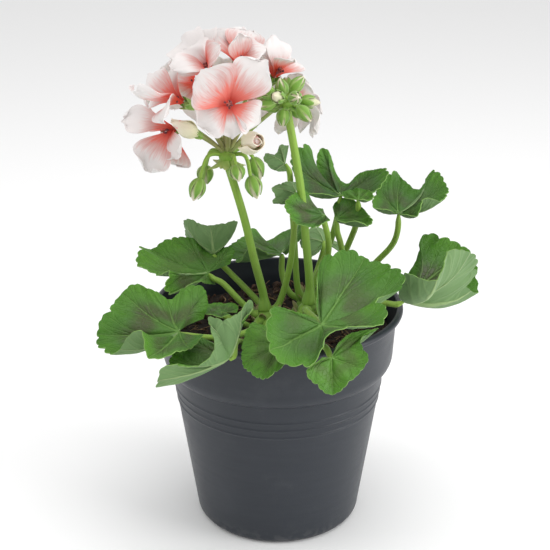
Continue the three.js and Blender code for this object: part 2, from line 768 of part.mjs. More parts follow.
function soilHeight(x, y) {
  const [cx, cy] = MOUND_CENTRE;
  const away = Math.hypot(x / SPREAD - cx, y / SPREAD - cy) / MOUND_RADIUS;
  const lumps = LUMP_HEIGHT * Math.sin(x / LUMP_LENGTHS[0]) * Math.cos(y / LUMP_LENGTHS[1]);
  return SOIL_LEVEL + lumps + SOIL_MOUND * Math.exp(-away * away);
}

function soil(extra) {
  const gap = CLEARANCE + SOIL_GAP - extra;
  const edge = insideRadius(SOIL_LEVEL) - gap;
  const surface = Array.from({ length: SOIL_RINGS }, (_, k) => (
    [(edge * (SOIL_RINGS - k - 0.5)) / SOIL_RINGS, SOIL_LEVEL]));
  const profile = [
    [0, FLOOR_TOP + gap], [BASE_RADIUS - BASE_ROUND - gap, FLOOR_TOP + gap],
    [BASE_RADIUS - WALL - gap, BASE_ROUND + gap], [BODY_RADIUS - WALL - gap, BODY_TOP],
    [COLLAR_RADIUS - COLLAR_TAPER - WALL - gap, COLLAR_BOTTOM], [edge, SOIL_LEVEL],
    ...surface, [0, SOIL_LEVEL],
  ];
  const mound = (x, y, z) => (z < SOIL_LEVEL || Math.hypot(x, y) > edge - EDGE_WIDTH
    ? z : soilHeight(x, y) + extra);
  const geometry = new THREE.LatheGeometry(profile.map(([x, y]) => new THREE.Vector2(x, y)), POT_SEGMENTS);
  geometry.rotateX(Math.PI / 2);
  const place = geometry.attributes.position;
  for (let i = 0; i < place.count; i += 1) {
    place.setZ(i, mound(place.getX(i), place.getY(i), place.getZ(i)));
  }
  return solidOf(geometry);
}

// ---------------------------------------------------------------- assembly

const model = new THREE.Group();
model.add(plant);

const placed = [];
const FACET_TOLERANCE = 0.03; // joins left by trimming that are finer than this close up

function boxesMeet(a, b) {
  const [p, q] = [a.boundingBox(), b.boundingBox()];
  return [0, 1, 2].every((k) => p.min[k] <= q.max[k] && q.min[k] <= p.max[k]);
}

// Adds a piece, trimmed clear of the pieces that are already there.
function place(parent, name, build, look) {
  const lift = parent === plant ? SOIL_LEVEL : 0;
  let solid = build(0).translate([0, 0, lift]);
  for (const other of placed) {
    if (boxesMeet(solid, other)) solid = solid.subtract(other);
  }
  placed.push(build(CLEARANCE).translate([0, 0, lift]));
  const whole = largestPiece(largestPiece(solid).asOriginal().simplify(FACET_TOLERANCE));
  const mesh = new THREE.Mesh(geometryOf(whole.translate([0, 0, -lift])), material(look));
  mesh.name = name;
  parent.add(mesh);
}

place(model, 'pot', pot, COLOURS.pot);
place(plant, 'crown', crown, COLOURS.stem);
place(model, 'soil', soil, COLOURS.soil);
for (const [name, leaf] of Object.entries(LEAVES)) {
  place(plant, `petiole_${name}`, (extra) => petiole(leaf, extra), COLOURS.stem);
}
for (const [name, route] of Object.entries(STALKS)) {
  place(plant, `stalk_${name}`, (extra) => stalk(route, extra), COLOURS.stem);
}
for (const [name, leaf] of Object.entries(LEAVES)) {
  place(plant, `leaf_${name}`, (extra) => blade(leaf, extra), COLOURS.leaf);
}
for (const [name, flower] of Object.entries(FLOWERS)) {
  place(plant, `flower_${name}`, (extra) => flowerHead(flower, extra), COLOURS.petal);
}
for (const [name, { base, tip, width }] of Object.entries(OPENING_BUDS)) {
  const build = (extra) => bud(spread(base), spread(tip), width, extra);
  place(plant, `bud_${name}`, build, COLOURS.petal);
}
for (const [name, { top, point }] of Object.entries(HANGING_BUDS)) {
  const build = (extra) => bud(spread(top), spread(point), BUD_WIDTH, extra);
  place(plant, `bud_${name}`, build, COLOURS.bud);
}
place(plant, 'pedicels_open_head', openHead, COLOURS.stem);
place(plant, 'buds_and_pedicels_bud_head', budHead, COLOURS.bud);

export default model;
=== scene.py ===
"""The looks of a potted zonal geranium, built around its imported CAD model.

Points in the tables are in millimetres from the middle of the soil's surface, as in the CAD source.
"""
import math
import random
from collections import namedtuple

import bmesh
import bpy
import numpy as np
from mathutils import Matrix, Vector, noise


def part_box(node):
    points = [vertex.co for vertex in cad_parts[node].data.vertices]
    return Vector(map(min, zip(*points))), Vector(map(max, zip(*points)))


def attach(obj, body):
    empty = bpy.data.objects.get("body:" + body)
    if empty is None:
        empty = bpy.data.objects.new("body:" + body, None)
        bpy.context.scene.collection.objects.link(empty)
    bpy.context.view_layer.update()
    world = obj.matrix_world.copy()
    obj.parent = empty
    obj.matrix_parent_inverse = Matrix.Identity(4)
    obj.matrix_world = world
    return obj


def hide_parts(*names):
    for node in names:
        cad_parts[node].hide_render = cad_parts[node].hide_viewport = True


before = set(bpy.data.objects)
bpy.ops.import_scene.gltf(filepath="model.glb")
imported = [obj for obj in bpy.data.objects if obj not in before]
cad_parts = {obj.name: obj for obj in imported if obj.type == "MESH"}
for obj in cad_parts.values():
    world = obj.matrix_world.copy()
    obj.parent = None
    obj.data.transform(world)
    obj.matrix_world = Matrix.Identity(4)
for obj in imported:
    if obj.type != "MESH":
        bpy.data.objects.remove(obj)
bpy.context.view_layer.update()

# ---------------------------------------------------------------- sizes taken from the frame

MM = 0.001
_, POT_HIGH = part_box("pot")
RIM_RADIUS = POT_HIGH.x / MM
POT_HEIGHT = POT_HIGH.z / MM
GROWN_IN_RIM_RADIUS = 60
SPREAD = RIM_RADIUS / GROWN_IN_RIM_RADIUS
SOIL_DEPTH_BELOW_RIM = 16
SOIL_LEVEL = POT_HEIGHT - SOIL_DEPTH_BELOW_RIM

CROWN_STEMS = {
    "left": [[1, 1, -13], [-1, -1, 0], [-6, -3, 9]],
    "right": [[3, 2, -13], [8, 0, 0], [14, -4, 13]],
    "back": [[3, 4, -13], [7, 8, 0], [15, 13, 10]],
}

# rim: the blade's edge, anticlockwise as seen from its upper side. bow: its sag between centre and rim.
# tone: from an old dark leaf, 0, to a fresh bright one, 1. ruffle: how much its edge waves. from: the
# crown stem that its petiole comes off. petiole: points on the petiole's way.
LEAVES = {
    "left_big": {
        "centre": [-44, -48, 22], "bow": 0.1, "lobes": 7, "tone": 0.45, "ruffle": 2.2, "from": "left",
        "petiole": [[-10, -10, 9], [-14, -27, 12], [-28, -42, 16]],
        "rim": [[-34, -32, 21], [-33, -26, 31], [-36, -24, 34], [-43, -24, 34], [-49, -30, 30],
            [-57, -29, 34], [-67, -28, 35], [-79, -42, 26], [-80, -52, 16], [-73, -60, 16], [-61, -62, 26],
            [-55, -72, 23], [-45, -72, 22], [-37, -60, 20], [-33, -51, 22]]},
    "left_upper": {
        "centre": [-33, 0, 31], "bow": 0.05, "lobes": 7, "tone": 0.55, "ruffle": 2.2, "from": "left",
        "petiole": [[-12, -3, 11], [-20, -2, 19], [-27, 0, 26]],
        "rim": [[-23, 8, 32], [-22, 14, 38], [-34, 16, 37], [-42, 18, 42], [-51, 16, 42], [-59, 10, 39],
            [-66, 6, 41], [-67, 0, 40], [-66, -8, 38], [-58, -16, 36], [-50, -19, 39], [-53, -22, 32],
            [-50, -23, 28], [-43, -22, 33], [-37, -14, 31], [-30, 4, 23]]},
    "left_folded": {
        "centre": [-31, 12, 36], "bow": 0.08, "lobes": 5, "tone": 0.2, "from": "left",
        "petiole": [[-8, 6, 11], [-17, 12, 19], [-25, 16, 26]],
        "rim": [[-37, 30, 32], [-46, 30, 39], [-45, 22, 50], [-34, 16, 49], [-20, 22, 49], [-25, 34, 39],
            [-29, 32, 32]]},
    "rim_cupped": {
        "centre": [-21, -64, 17], "bow": 0.06, "lobes": 7, "tone": 0.4, "from": "left",
        "petiole": [[-6, -15, 5], [-13, -40, 12], [-19, -53, 19.5]],
        "rim": [[-30, -51, 18], [-33, -47, 18], [-38, -46, 18], [-44, -49, 16], [-47, -54, 13],
            [-49, -62, 10], [-52, -74, 6], [-50, -76, 16], [-42, -76, 17], [-35, -74, 18], [-29, -72, 21],
            [-27, -68, 26], [-29, -66, 31], [-30, -64, 36], [-26, -66, 36], [-22, -66, 36], [-18, -62, 37],
            [-12, -54, 40], [-12, -58, 37], [-16, -62, 32], [-19, -64, 28], [-20, -64, 23]]},
    "left_inner": {
        "centre": [-26, -24, 21], "bow": 0.02, "lobes": 5, "tone": 0.2, "from": "left",
        "petiole": [[-11, -7, 5], [-19, -16, 13]],
        "rim": [[-19, -20, 19], [-19, -14, 20], [-27, -18, 23], [-33, -25, 25], [-34, -30, 24],
            [-29, -32, 22], [-22, -29, 22]]},
    "front_big": {
        "centre": [19, -48, 25], "bow": 0.04, "lobes": 7, "tone": 0.35, "ruffle": 1.6, "from": "right",
        "petiole": [[13, -16, 18], [18, -32, 20]],
        "rim": [[16, -46, 28], [9, -50, 32], [-3, -56, 37], [-7, -66, 32], [-2, -72, 22], [7, -74, 17],
            [15, -72, 17], [21, -66, 28], [31, -64, 30], [43, -62, 31], [48, -52, 34], [45, -42, 34],
            [57, -36, 38], [54, -26, 42], [41, -20, 46], [33, -18, 49], [22, -20, 47], [18, -26, 40],
            [17, -40, 31]]},
    "front_low": {
        "centre": [23, -66, 18], "bow": 0.05, "lobes": 5, "tone": 0.95, "from": "right",
        "petiole": [[10, -16, 11], [16, -40, 13], [21, -56, 18]],
        "rim": [[19, -68, 19], [12, -74, 14], [22, -74, 4], [31, -72, 9], [39, -66, 17], [36, -60, 23],
            [44, -54, 26], [32, -58, 26], [26, -62, 23]]},
    "front_side": {
        "centre": [1, -58, 21], "bow": 0.02, "lobes": 5, "tone": 0.8, "from": "right",
        "petiole": [[3, -14, 9], [3, -34, 11], [2, -50, 17]],
        "rim": [[-4, -44, 22], [-12, -46, 25], [-16, -55, 18], [-15, -64, 12], [-7, -67, 8], [1, -65, 12],
            [5, -62, 19]]},
    "right_cup": {
        "centre": [59, -10, 21], "bow": 0.14, "lobes": 5, "tone": 0.5, "from": "right",
        "petiole": [[23, -6, 13], [38, -8, 15], [50, -9, 19]],
        "rim": [[57, -30, 43], [64, -36, 42], [71, -38, 44], [78, -30, 52], [90, -14, 46], [95, -8, 35],
            [90, -6, 26], [96, 0, 20], [95, 16, 33], [86, 18, 40], [71, 14, 45], [67, 8, 34], [61, 4, 26]]},
    "right_upper": {
        "centre": [57, 6, 59], "bow": 0.1, "lobes": 7, "tone": 0.3, "from": "back",
        "petiole": [[22, 13, 14], [38, 14, 19], [47, 14, 30], [55, 10, 41], [57, 7, 50]],
        "rim": [[58, -2, 61], [64, -8, 63], [69, -2, 68], [77, 2, 66], [81, 10, 68], [77, 22, 74],
            [73, 22, 72], [67, 18, 66], [58, 24, 72], [53, 20, 74], [47, 12, 69], [44, 0, 65],
            [53, 0, 62]]},
    "back_tall": {
        "centre": [30, 14, 65], "bow": 0.08, "lobes": 7, "tone": 0.1, "from": "back",
        "petiole": [[16, 17, 14], [22, 22, 26], [28, 20, 48]],
        "rim": [[39, 4, 69], [45, 4, 70], [53, 10, 78], [47, 16, 77], [40, 20, 74], [33, 22, 68],
            [26, 28, 75], [24, 32, 82], [20, 32, 82], [18, 28, 73], [15, 28, 83], [10, 24, 86], [6, 18, 83],
            [8, 10, 72], [12, 6, 69], [24, 6, 68]]},
    "mid_left": {
        "centre": [22, -6, 62], "bow": 0.08, "lobes": 5, "tone": 0.3, "from": "right",
        "petiole": [[18, 2, 15], [21, 4, 26], [24, 0, 42], [23, -4, 52]],
        "rim": [[21, 0, 63], [15, -2, 65], [12, -2, 72], [7, -10, 74], [3, -18, 72], [5, -20, 65],
            [13, -18, 60], [17, -14, 59], [24, -10, 61]]},
    "mid_right": {
        "centre": [27, 4, 57], "bow": 0.08, "lobes": 5, "tone": 0.6, "from": "back",
        "petiole": [[22, 8, 14], [31, 10, 32], [30, 6, 43], [28, 4, 50]],
        "rim": [[27, -2, 58], [38, -10, 59], [44, -8, 59], [42, -2, 61], [36, 10, 64], [29, 16, 62],
            [26, 12, 60]]},
    "young": {
        "centre": [37, 0, 68], "bow": 0.1, "lobes": 5, "tone": 0.9, "from": "back",
        "petiole": [[24, 17, 14], [33, 20, 34], [38, 8, 55]],
        "rim": [[38, -4, 69], [44, -4, 69], [43, 2, 71], [37, 6, 71], [30, 6, 69], [31, 2, 68]]},
    "back_low": {
        "centre": [2, 24, 32], "bow": 0.05, "lobes": 7, "tone": 0.3, "from": "back",
        "petiole": [[6, 16, 13], [2, 21, 22]],
        "rim": [[4, 30, 28], [12, 34, 36], [12, 40, 41], [-2, 44, 32], [-10, 44, 32], [-13, 44, 37],
            [-18, 36, 35], [-25, 26, 33], [-21, 16, 29], [-14, 8, 38], [-6, 8, 38], [1, 14, 34]]},
    "back_inner": {
        "centre": [23, 40, 31], "bow": 0.05, "lobes": 5, "tone": 0.4, "from": "back",
        "petiole": [[17, 24, 14], [21, 34, 22]],
        "rim": [[22, 34, 30], [16, 30, 27], [11, 34, 34], [16, 44, 37], [23, 50, 35], [29, 48, 29],
            [37, 46, 26], [32, 38, 26]]},
    "stalk_scalloped": {
        "centre": [3, 14, 80], "bow": 0.05, "lobes": 3, "tone": 0.7, "from": "back",
        "petiole": [[10, 10, 16], [8, 14, 42], [6, 15, 68]],
        "rim": [[4, 10, 78], [-2, 8, 79], [-6, 8, 84], [-6, 12, 86], [-1, 16, 85], [1, 20, 88],
            [5, 22, 87]]},
    "stalk_toothed": {
        "centre": [8, 0, 70], "bow": 0.05, "lobes": 3, "tone": 0.6, "from": "left",
        "petiole": [[0, 1, 13], [6, 4, 34], [8, 3, 57]],
        "rim": [[5, -6, 67], [-2, -10, 69], [-1, -8, 72], [-3, -6, 75], [3, 0, 76], [9, 6, 74]]},
}

STALKS = {
    "open_head": {"from": "left", "way": [[-7, -2, 20], [-11, -4, 38], [-16, -7, 62], [-23, -10, 88.2]]},
    "bud_head": {"from": "right", "way": [[15, -4, 24], [13, -5, 49], [10, -6, 77], [4, -8, 112.2]]},
}
OPEN_HUB = [-23, -10, 92]
BUD_HUB = [4, -8, 116]

# blush: how far the red reaches. curl: how far the tip bends back. cup: how deep the petal is. face: the
# way it faces, where that isn't the flower's way.
Petal = namedtuple("Petal", "tip width blush curl cup face", defaults=(0.10, None))
FLOWERS = {
    "front": {"throat": [-21, -34, 121], "facing": [0.05, -0.9, 0.35], "petals": [
        Petal([-31, -39, 135], 22, 0.66, 0.5), Petal([-6, -34, 140], 17, 0.52, 0.1),
        Petal([-34, -40, 114], 17, 0.42, 0.0), Petal([-20, -36, 107], 12, 0.3, 0.1),
        Petal([-8, -32, 113], 14, 0.5, 0.15)]},
    "top_left": {"throat": [-29, -14, 130], "facing": [-0.38, -0.6, 0.7], "petals": [
        Petal([-41, -16, 141], 18, 0.4, 0.15), Petal([-46, 2, 145], 17, 0.25, 0.3),
        Petal([-35, 6, 147], 15, 0.35, 0.3), Petal([-45, -26, 136], 12, 0.45, 0.1),
        Petal([-26, -24, 144], 12, 0.75, 0.1)]},
    "top_centre": {"throat": [-18, -6, 132], "facing": [0.1, -0.5, 0.85], "petals": [
        Petal([-27, 4, 147], 16, 0.45, 0.2), Petal([-18, -12, 147], 11, 0.62, -0.1),
        Petal([-13, 2, 147], 16, 0.62, 0.15), Petal([-7, -8, 140], 14, 0.6, 0.15),
        Petal([-20, 12, 146], 14, 0.4, 0.3)]},
    "top_right": {"throat": [-2, 4, 124], "facing": [0.5, -0.45, 0.75], "petals": [
        Petal([-1, 6, 143], 13, 0.35, 0.1), Petal([-9, 10, 142], 11, 0.3, 0.2),
        Petal([8, 18, 131], 14, 0.5, 0.2), Petal([-12, 16, 130], 13, 0.4, 0.2),
        Petal([6, -4, 134], 11, 0.5, 0.1)]},
    "left": {"throat": [-41, -22, 119], "facing": [-0.75, -0.45, 0.45], "petals": [
        Petal([-58, -14, 130], 14, 0.55, 0.2), Petal([-49, -3, 132], 15, 0.3, 0.3),
        Petal([-59, -36, 122], 15, 0.62, -0.25), Petal([-49, -42, 118], 13, 0.5, 0.1),
        Petal([-57, 4, 118], 14, 0.4, 0.2)]},
    "low_left": {"throat": [-46, -9, 104], "facing": [-0.8, -0.25, -0.1], "petals": [
        Petal([-71, -6, 107], 12, 0.4, 0.1, 0.3, [-0.2, -0.8, 0.6]),
        Petal([-59, -14, 85], 17, 0.5, 0.1, 0.3, [-0.4, -0.9, 0.1]),
        Petal([-50, 4, 82], 15, 0.6, 0.1, 0.3, [0.2, -0.95, 0.2]),
        Petal([-43, -22, 94], 13, 0.35, 0.0, face=[-0.3, -0.9, -0.3]), Petal([-62, 8, 112], 16, 0.4, 0.2)]},
    "right": {"throat": [4, 12, 112], "facing": [0.5, 0.5, 0.3], "petals": [
        Petal([12, 16, 122], 14, 0.45, 0.2), Petal([21, 18, 107], 10, 0.4, 0.2),
        Petal([20, 10, 99], 10, 0.35, 0.3), Petal([12, 16, 97], 13, 0.4, 0.2),
        Petal([0, 6, 97], 14, 0.35, 0.1)]},
    "back_left": {"throat": [-36, 12, 118], "facing": [-0.3, 0.85, 0.45], "petals": [
        Petal([-52, 20, 126], 17, 0.5, 0.2), Petal([-36, 16, 138], 17, 0.6, 0.2),
        Petal([-52, 18, 108], 15, 0.4, 0.2), Petal([-36, 24, 100], 15, 0.35, 0.2),
        Petal([-24, 26, 122], 15, 0.45, 0.2)]},
    "back_right": {"throat": [-13, 16, 116], "facing": [0.2, 0.95, 0.3], "petals": [
        Petal([-25, 24, 128], 15, 0.6, 0.2), Petal([-8, 22, 134], 16, 0.5, 0.2),
        Petal([-23, 24, 104], 15, 0.4, 0.2), Petal([-10, 28, 98], 14, 0.35, 0.2),
        Petal([2, 24, 114], 14, 0.45, 0.2)]},
}

HANGING_BUDS = {
    "hanging_left": {"top": [-35, -14, 82.5], "point": [-38.5, -16, 72], "way": [-31, -14, 93]},
    "hanging_left_back": {"top": [-33, -3, 85], "point": [-34, -2, 75], "way": [-30, -6, 93]},
    "hanging_right": {"top": [-12.5, -14, 83.5], "point": [-9.5, -16, 73], "way": [-15, -14, 93]},
    "hanging_right_back": {"top": [-11.5, -4, 89], "point": [-8, -3, 78], "way": [-16, -6, 94]},
    "hanging_middle": {"top": [-19, -18, 90], "point": [-17.5, -20, 82.5], "way": [-20, -15, 93]},
}

# mouth: how wide the tip is open. coloured_from: the first petal, counted inwards, that shows red.
OPENING_BUDS = {
    "opening_left": {
        "base": [-35, -17, 103], "tip": [-47, -23, 111.5], "width": 9,
        "mouth": 0.40, "turn": 0.4, "coloured_from": 7},
    "opening_right": {
        "base": [-15, -16, 99.5], "tip": [-8.5, -29, 104], "width": 12,
        "mouth": 0.74, "turn": 1.9, "coloured_from": 5},
}

# Foot and point of each bud of the head in bud.
CLUSTER_BUDS = [
    [[2.5, -12, 120], [0.5, -14, 128]],
    [[5, -8, 120.5], [11.5, -6, 127]],
    [[-1, -14, 121], [-9, -16, 122.5]],
    [[1, -18, 120], [-2, -26, 123.5]],
    [[-1, -14, 117.5], [-10, -16, 116]],
    [[2.5, -12, 114], [2, -14, 106]],
    [[6.5, -16, 119.5], [8.5, -24, 122]],
    [[9.5, -8, 116.5], [19, -8, 115.5]],
    [[8.5, -12, 115], [14.5, -16, 109]],
    [[7, -5, 113.5], [10, 0, 107]],
    [[0, -5, 114.5], [-5, 1, 110]],
    [[4, -2, 119], [4, 5, 124]],
]
SHOWING_COLOUR = (3, 7)  # the buds whose petals already show

# ---------------------------------------------------------------- small geometry helpers


def spread(point):
    """A table's point in the row frame, in millimetres."""
    x, y, z = point
    return np.array([x * SPREAD, y * SPREAD, z + SOIL_LEVEL], float)


def unit(v):
    v = np.asarray(v, float)
    return v / np.maximum(np.linalg.norm(v, axis=-1, keepdims=True), 1e-9)


def ease(low, high, x):
    """0 below low, 1 above high, and smooth between them."""
    t = np.clip((np.asarray(x, float) - low) / (high - low), 0, 1)
    return t * t * (3 - 2 * t)


def curve_through(points, count, power=0.5):
    """Points of a Catmull-Rom curve: power 0 spaces its knots evenly, 0.5 by the root of their distance."""
    p = np.asarray(points, float)
    p = np.vstack([2 * p[0] - p[1], p, 2 * p[-1] - p[-2]])
    gaps = np.linalg.norm(np.diff(p, axis=0), axis=1) ** power
    knots = np.concatenate([[0], np.cumsum(gaps)])
    spans = len(p) - 3
    where = np.linspace(0, spans, count)
    i = np.minimum(where.astype(int), spans - 1)
    t0, t1, t2, t3 = (knots[i + k][:, None] for k in range(4))
    p0, p1, p2, p3 = (p[i + k] for k in range(4))
    t = t1 + (t2 - t1) * (where - i)[:, None]

    def between(ta, tb, a, b):
        return ((tb - t) * a + (t - ta) * b) / (tb - ta)

    first = between(t0, t1, p0, p1)
    second = between(t1, t2, p1, p2)
    third = between(t2, t3, p2, p3)
    return between(t1, t2, between(t0, t2, first, second), between(t1, t3, second, third))


def lengths_along(points):
    steps = np.linalg.norm(np.diff(points, axis=0), axis=1)
    return np.concatenate([[0], np.cumsum(steps)])


def smoothed(values, times):
    """Running averages along the first axis, with the ends kept."""
    values = np.array(values, float)
    for _ in range(times):
        values[1:-1] = (values[:-2] + 2 * values[1:-1] + values[2:]) / 4
    return values


def frame_on(direction, towards=(0, 0, 1)):
    """Two directions square to the given one, the first as close as can be to `towards`."""
    along = unit(direction)
    lift = np.asarray(towards, float)
    lift = lift - along * (lift @ along)
    if np.linalg.norm(lift) < 1e-6:
        lift = np.array([1.0, 0, 0]) - along * along[0]
    lift = unit(lift)
    return lift, np.cross(along, lift)


def spokes(turns, lift, other, radius=1.0):
    """Points round an axis, at one turn or at a row of them."""
    return np.multiply.outer(np.cos(turns) * radius, lift) + np.multiply.outer(np.sin(turns) * radius, other)


def level(turn):
    """A level direction."""
    return np.array([np.cos(turn), np.sin(turn), 0])


def full_turn(count):
    """Turns spaced evenly round a circle."""
    return np.arange(count) * 2 * np.pi / count


def grain(rows, columns):
    """A grid's grain: the first value is each row's, and the second each column's."""
    return np.stack(np.meshgrid(rows, columns, indexing="ij"), axis=-1)


def ring_grain(turns, shares):
    """The grain of rings of points: how far round, and how far along."""
    return np.stack(np.meshgrid(turns, shares), axis=-1)


def put_in_scene(name, data):
    thing = bpy.data.objects.new(name, data)
    bpy.context.scene.collection.objects.link(thing)
    return thing


# ---------------------------------------------------------------- pieces


class Piece:
    """The points and faces of one piece, in millimetres, gathered before its mesh is made."""

    def __init__(self):
        self.points = []
        self.faces = []
        self.slots = []
        self.uv = []
        self.tones = []
        self.count = 0

    def add(self, points, faces, slot=0, uv=None, tone=0.5):
        points = np.asarray(points, float).reshape(-1, 3)
        self.faces.extend([tuple(int(v) + self.count for v in face) for face in faces])
        self.slots.extend([slot] * len(faces))
        self.points.append(points)
        self.uv.append(np.zeros((len(points), 2)) if uv is None else np.reshape(uv, (-1, 2)))
        self.tones.append(np.broadcast_to(np.asarray(tone, float).reshape(-1), (len(points),)))
        self.count += len(points)

    def finish(self, name, materials, slot, nodes, merge=1e-6, sharp=60):
        points = np.concatenate(self.points) * MM
        mesh = bpy.data.meshes.new(name)
        mesh.from_pydata(points.tolist(), [], self.faces)
        mesh.polygons.foreach_set("material_index", self.slots)
        mesh.polygons.foreach_set("use_smooth", [True] * len(self.faces))
        corners = np.zeros(len(mesh.loops), np.int32)
        mesh.loops.foreach_get("vertex_index", corners)
        uv = np.concatenate(self.uv)[corners]
        mesh.uv_layers.new(name="Grain").data.foreach_set("uv", uv.astype(np.float32).ravel())
        tone = mesh.attributes.new("tone", "FLOAT", "POINT")
        tone.data.foreach_set("value", np.concatenate(self.tones).astype(np.float32))
        for material in materials:
            mesh.materials.append(material)
        merge_doubles(mesh, merge)
        mesh.set_sharp_from_angle(angle=math.radians(sharp))
        thing = put_in_scene(name, mesh)
        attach(thing, "root")
        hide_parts(*nodes)
        return thing


def merge_doubles(mesh, distance):
    shape = bmesh.new()
    shape.from_mesh(mesh)
    bmesh.ops.remove_doubles(shape, verts=shape.verts, dist=distance)
    bmesh.ops.dissolve_degenerate(shape, dist=distance / 2, edges=shape.edges)
    shape.to_mesh(mesh)
    shape.free()
    mesh.update()


def grid_faces(rows, columns, wrap=False):
    """Quads of a grid whose points run by row, turning from each column's next to each row's next."""
    faces = []
    for i in range(rows if wrap else rows - 1):
        here = i * columns
        after = ((i + 1) % rows) * columns
        faces += [(here + j, here + j + 1, after + j + 1, after + j) for j in range(columns - 1)]
    return faces


def grid_normals(grid, centred):
    normals = np.cross(np.gradient(grid, axis=1), np.gradient(grid, axis=0))
    if centred:
        normals[:, 0] = unit(normals[:, 1]).mean(axis=0)
    return unit(normals)


def add_sheet(piece, grid, thickness, uv, tone=0.5, slots=(0, 1, 2), centred=False):
    """A thin closed sheet. slots: of its upper side, underside and edge. centred: column 0 is one point."""
    rows, columns = grid.shape[:2]
    lift = grid_normals(grid, centred) * thickness / 2
    top, bottom = grid + lift, grid - lift
    faces = grid_faces(rows, columns)
    piece.add(top, faces, slots[0], uv, tone)
    piece.add(bottom, [face[::-1] for face in faces], slots[1], uv, tone)
    ring = [(i, columns - 1) for i in range(rows)]
    ring += [(rows - 1, j) for j in range(columns - 2, -1, -1)]
    ring += [] if centred else [(i, 0) for i in range(rows - 2, 0, -1)]
    ring += [(0, j) for j in range(1 if centred else 0, columns - 1)]
    index = tuple(np.array(ring).T)
    edge = np.stack([top[index], bottom[index]], axis=1)
    edge_uv = np.repeat(uv[index][:, None], 2, axis=1)
    piece.add(edge, grid_faces(len(ring), 2, wrap=True), slots[2], edge_uv, tone)


def barrel_faces(rings, sides):
    """Quads between neighbouring rings of points, and a cap on the first ring and on the last."""
    steps = [(s, (s + 1) % sides) for s in range(sides)]
    last = (rings - 1) * sides
    quads = [(k + s, k + n, k + sides + n, k + sides + s) for k in range(0, last, sides) for s, n in steps]
    return [*quads, tuple(range(sides))[::-1], tuple(range(last, last + sides))]


def add_tube(piece, path, radii, sides, slot=0, tone=0.5, ridges=0.0):
    """A round stem along a path, closed by a cap at each end."""
    path = np.asarray(path, float)
    radii = np.broadcast_to(radii, len(path))
    tangents = unit(np.gradient(path, axis=0))
    side, _ = frame_on(tangents[0], (0.3, -1, 0.2))
    turns = full_turn(sides)
    swell = 1 + ridges * np.cos(turns * 5)
    rings = []
    for middle, tangent, radius in zip(path, tangents, radii):
        side = unit(side - tangent * (side @ tangent))
        rings.append(middle + spokes(turns, side, np.cross(tangent, side), swell) * radius)
    tones = np.repeat(np.broadcast_to(tone, len(path)), sides)
    piece.add(rings, barrel_faces(len(path), sides), slot, ring_grain(turns, lengths_along(path)), tones)


def add_lathe(piece, foot, tip, profile, sides, slot=0, tone=0.5, ripple=0.0, lobes=5, twist=0.0):
    """A body of revolution from foot to tip. profile: shares of the length, and radii."""
    along = np.subtract(tip, foot)
    lift, other = frame_on(along)
    turns = full_turn(sides)
    rings = []
    for share, radius in profile:
        bulge = radius * (1 + ripple * np.cos(lobes * (turns + twist * share)))
        rings.append(foot + along * share + spokes(turns, lift, other, bulge))
    uv = ring_grain(turns / (2 * np.pi), [share for share, _ in profile])
    piece.add(rings, barrel_faces(len(profile), sides), slot, uv, tone)


def egg(width, steps, sharpness=1.0, widest=0.42):
    """The profile of a pointed egg."""
    shares = np.linspace(0, 1, steps)
    warped = np.where(shares < widest, shares / widest / 2, 0.5 + (shares - widest) / (1 - widest) / 2)
    radii = width / 2 * np.sin(np.pi * warped) ** np.where(shares < widest, 0.6, sharpness)
    return list(zip(shares, np.maximum(radii, 0.02)))


# ---------------------------------------------------------------- materials


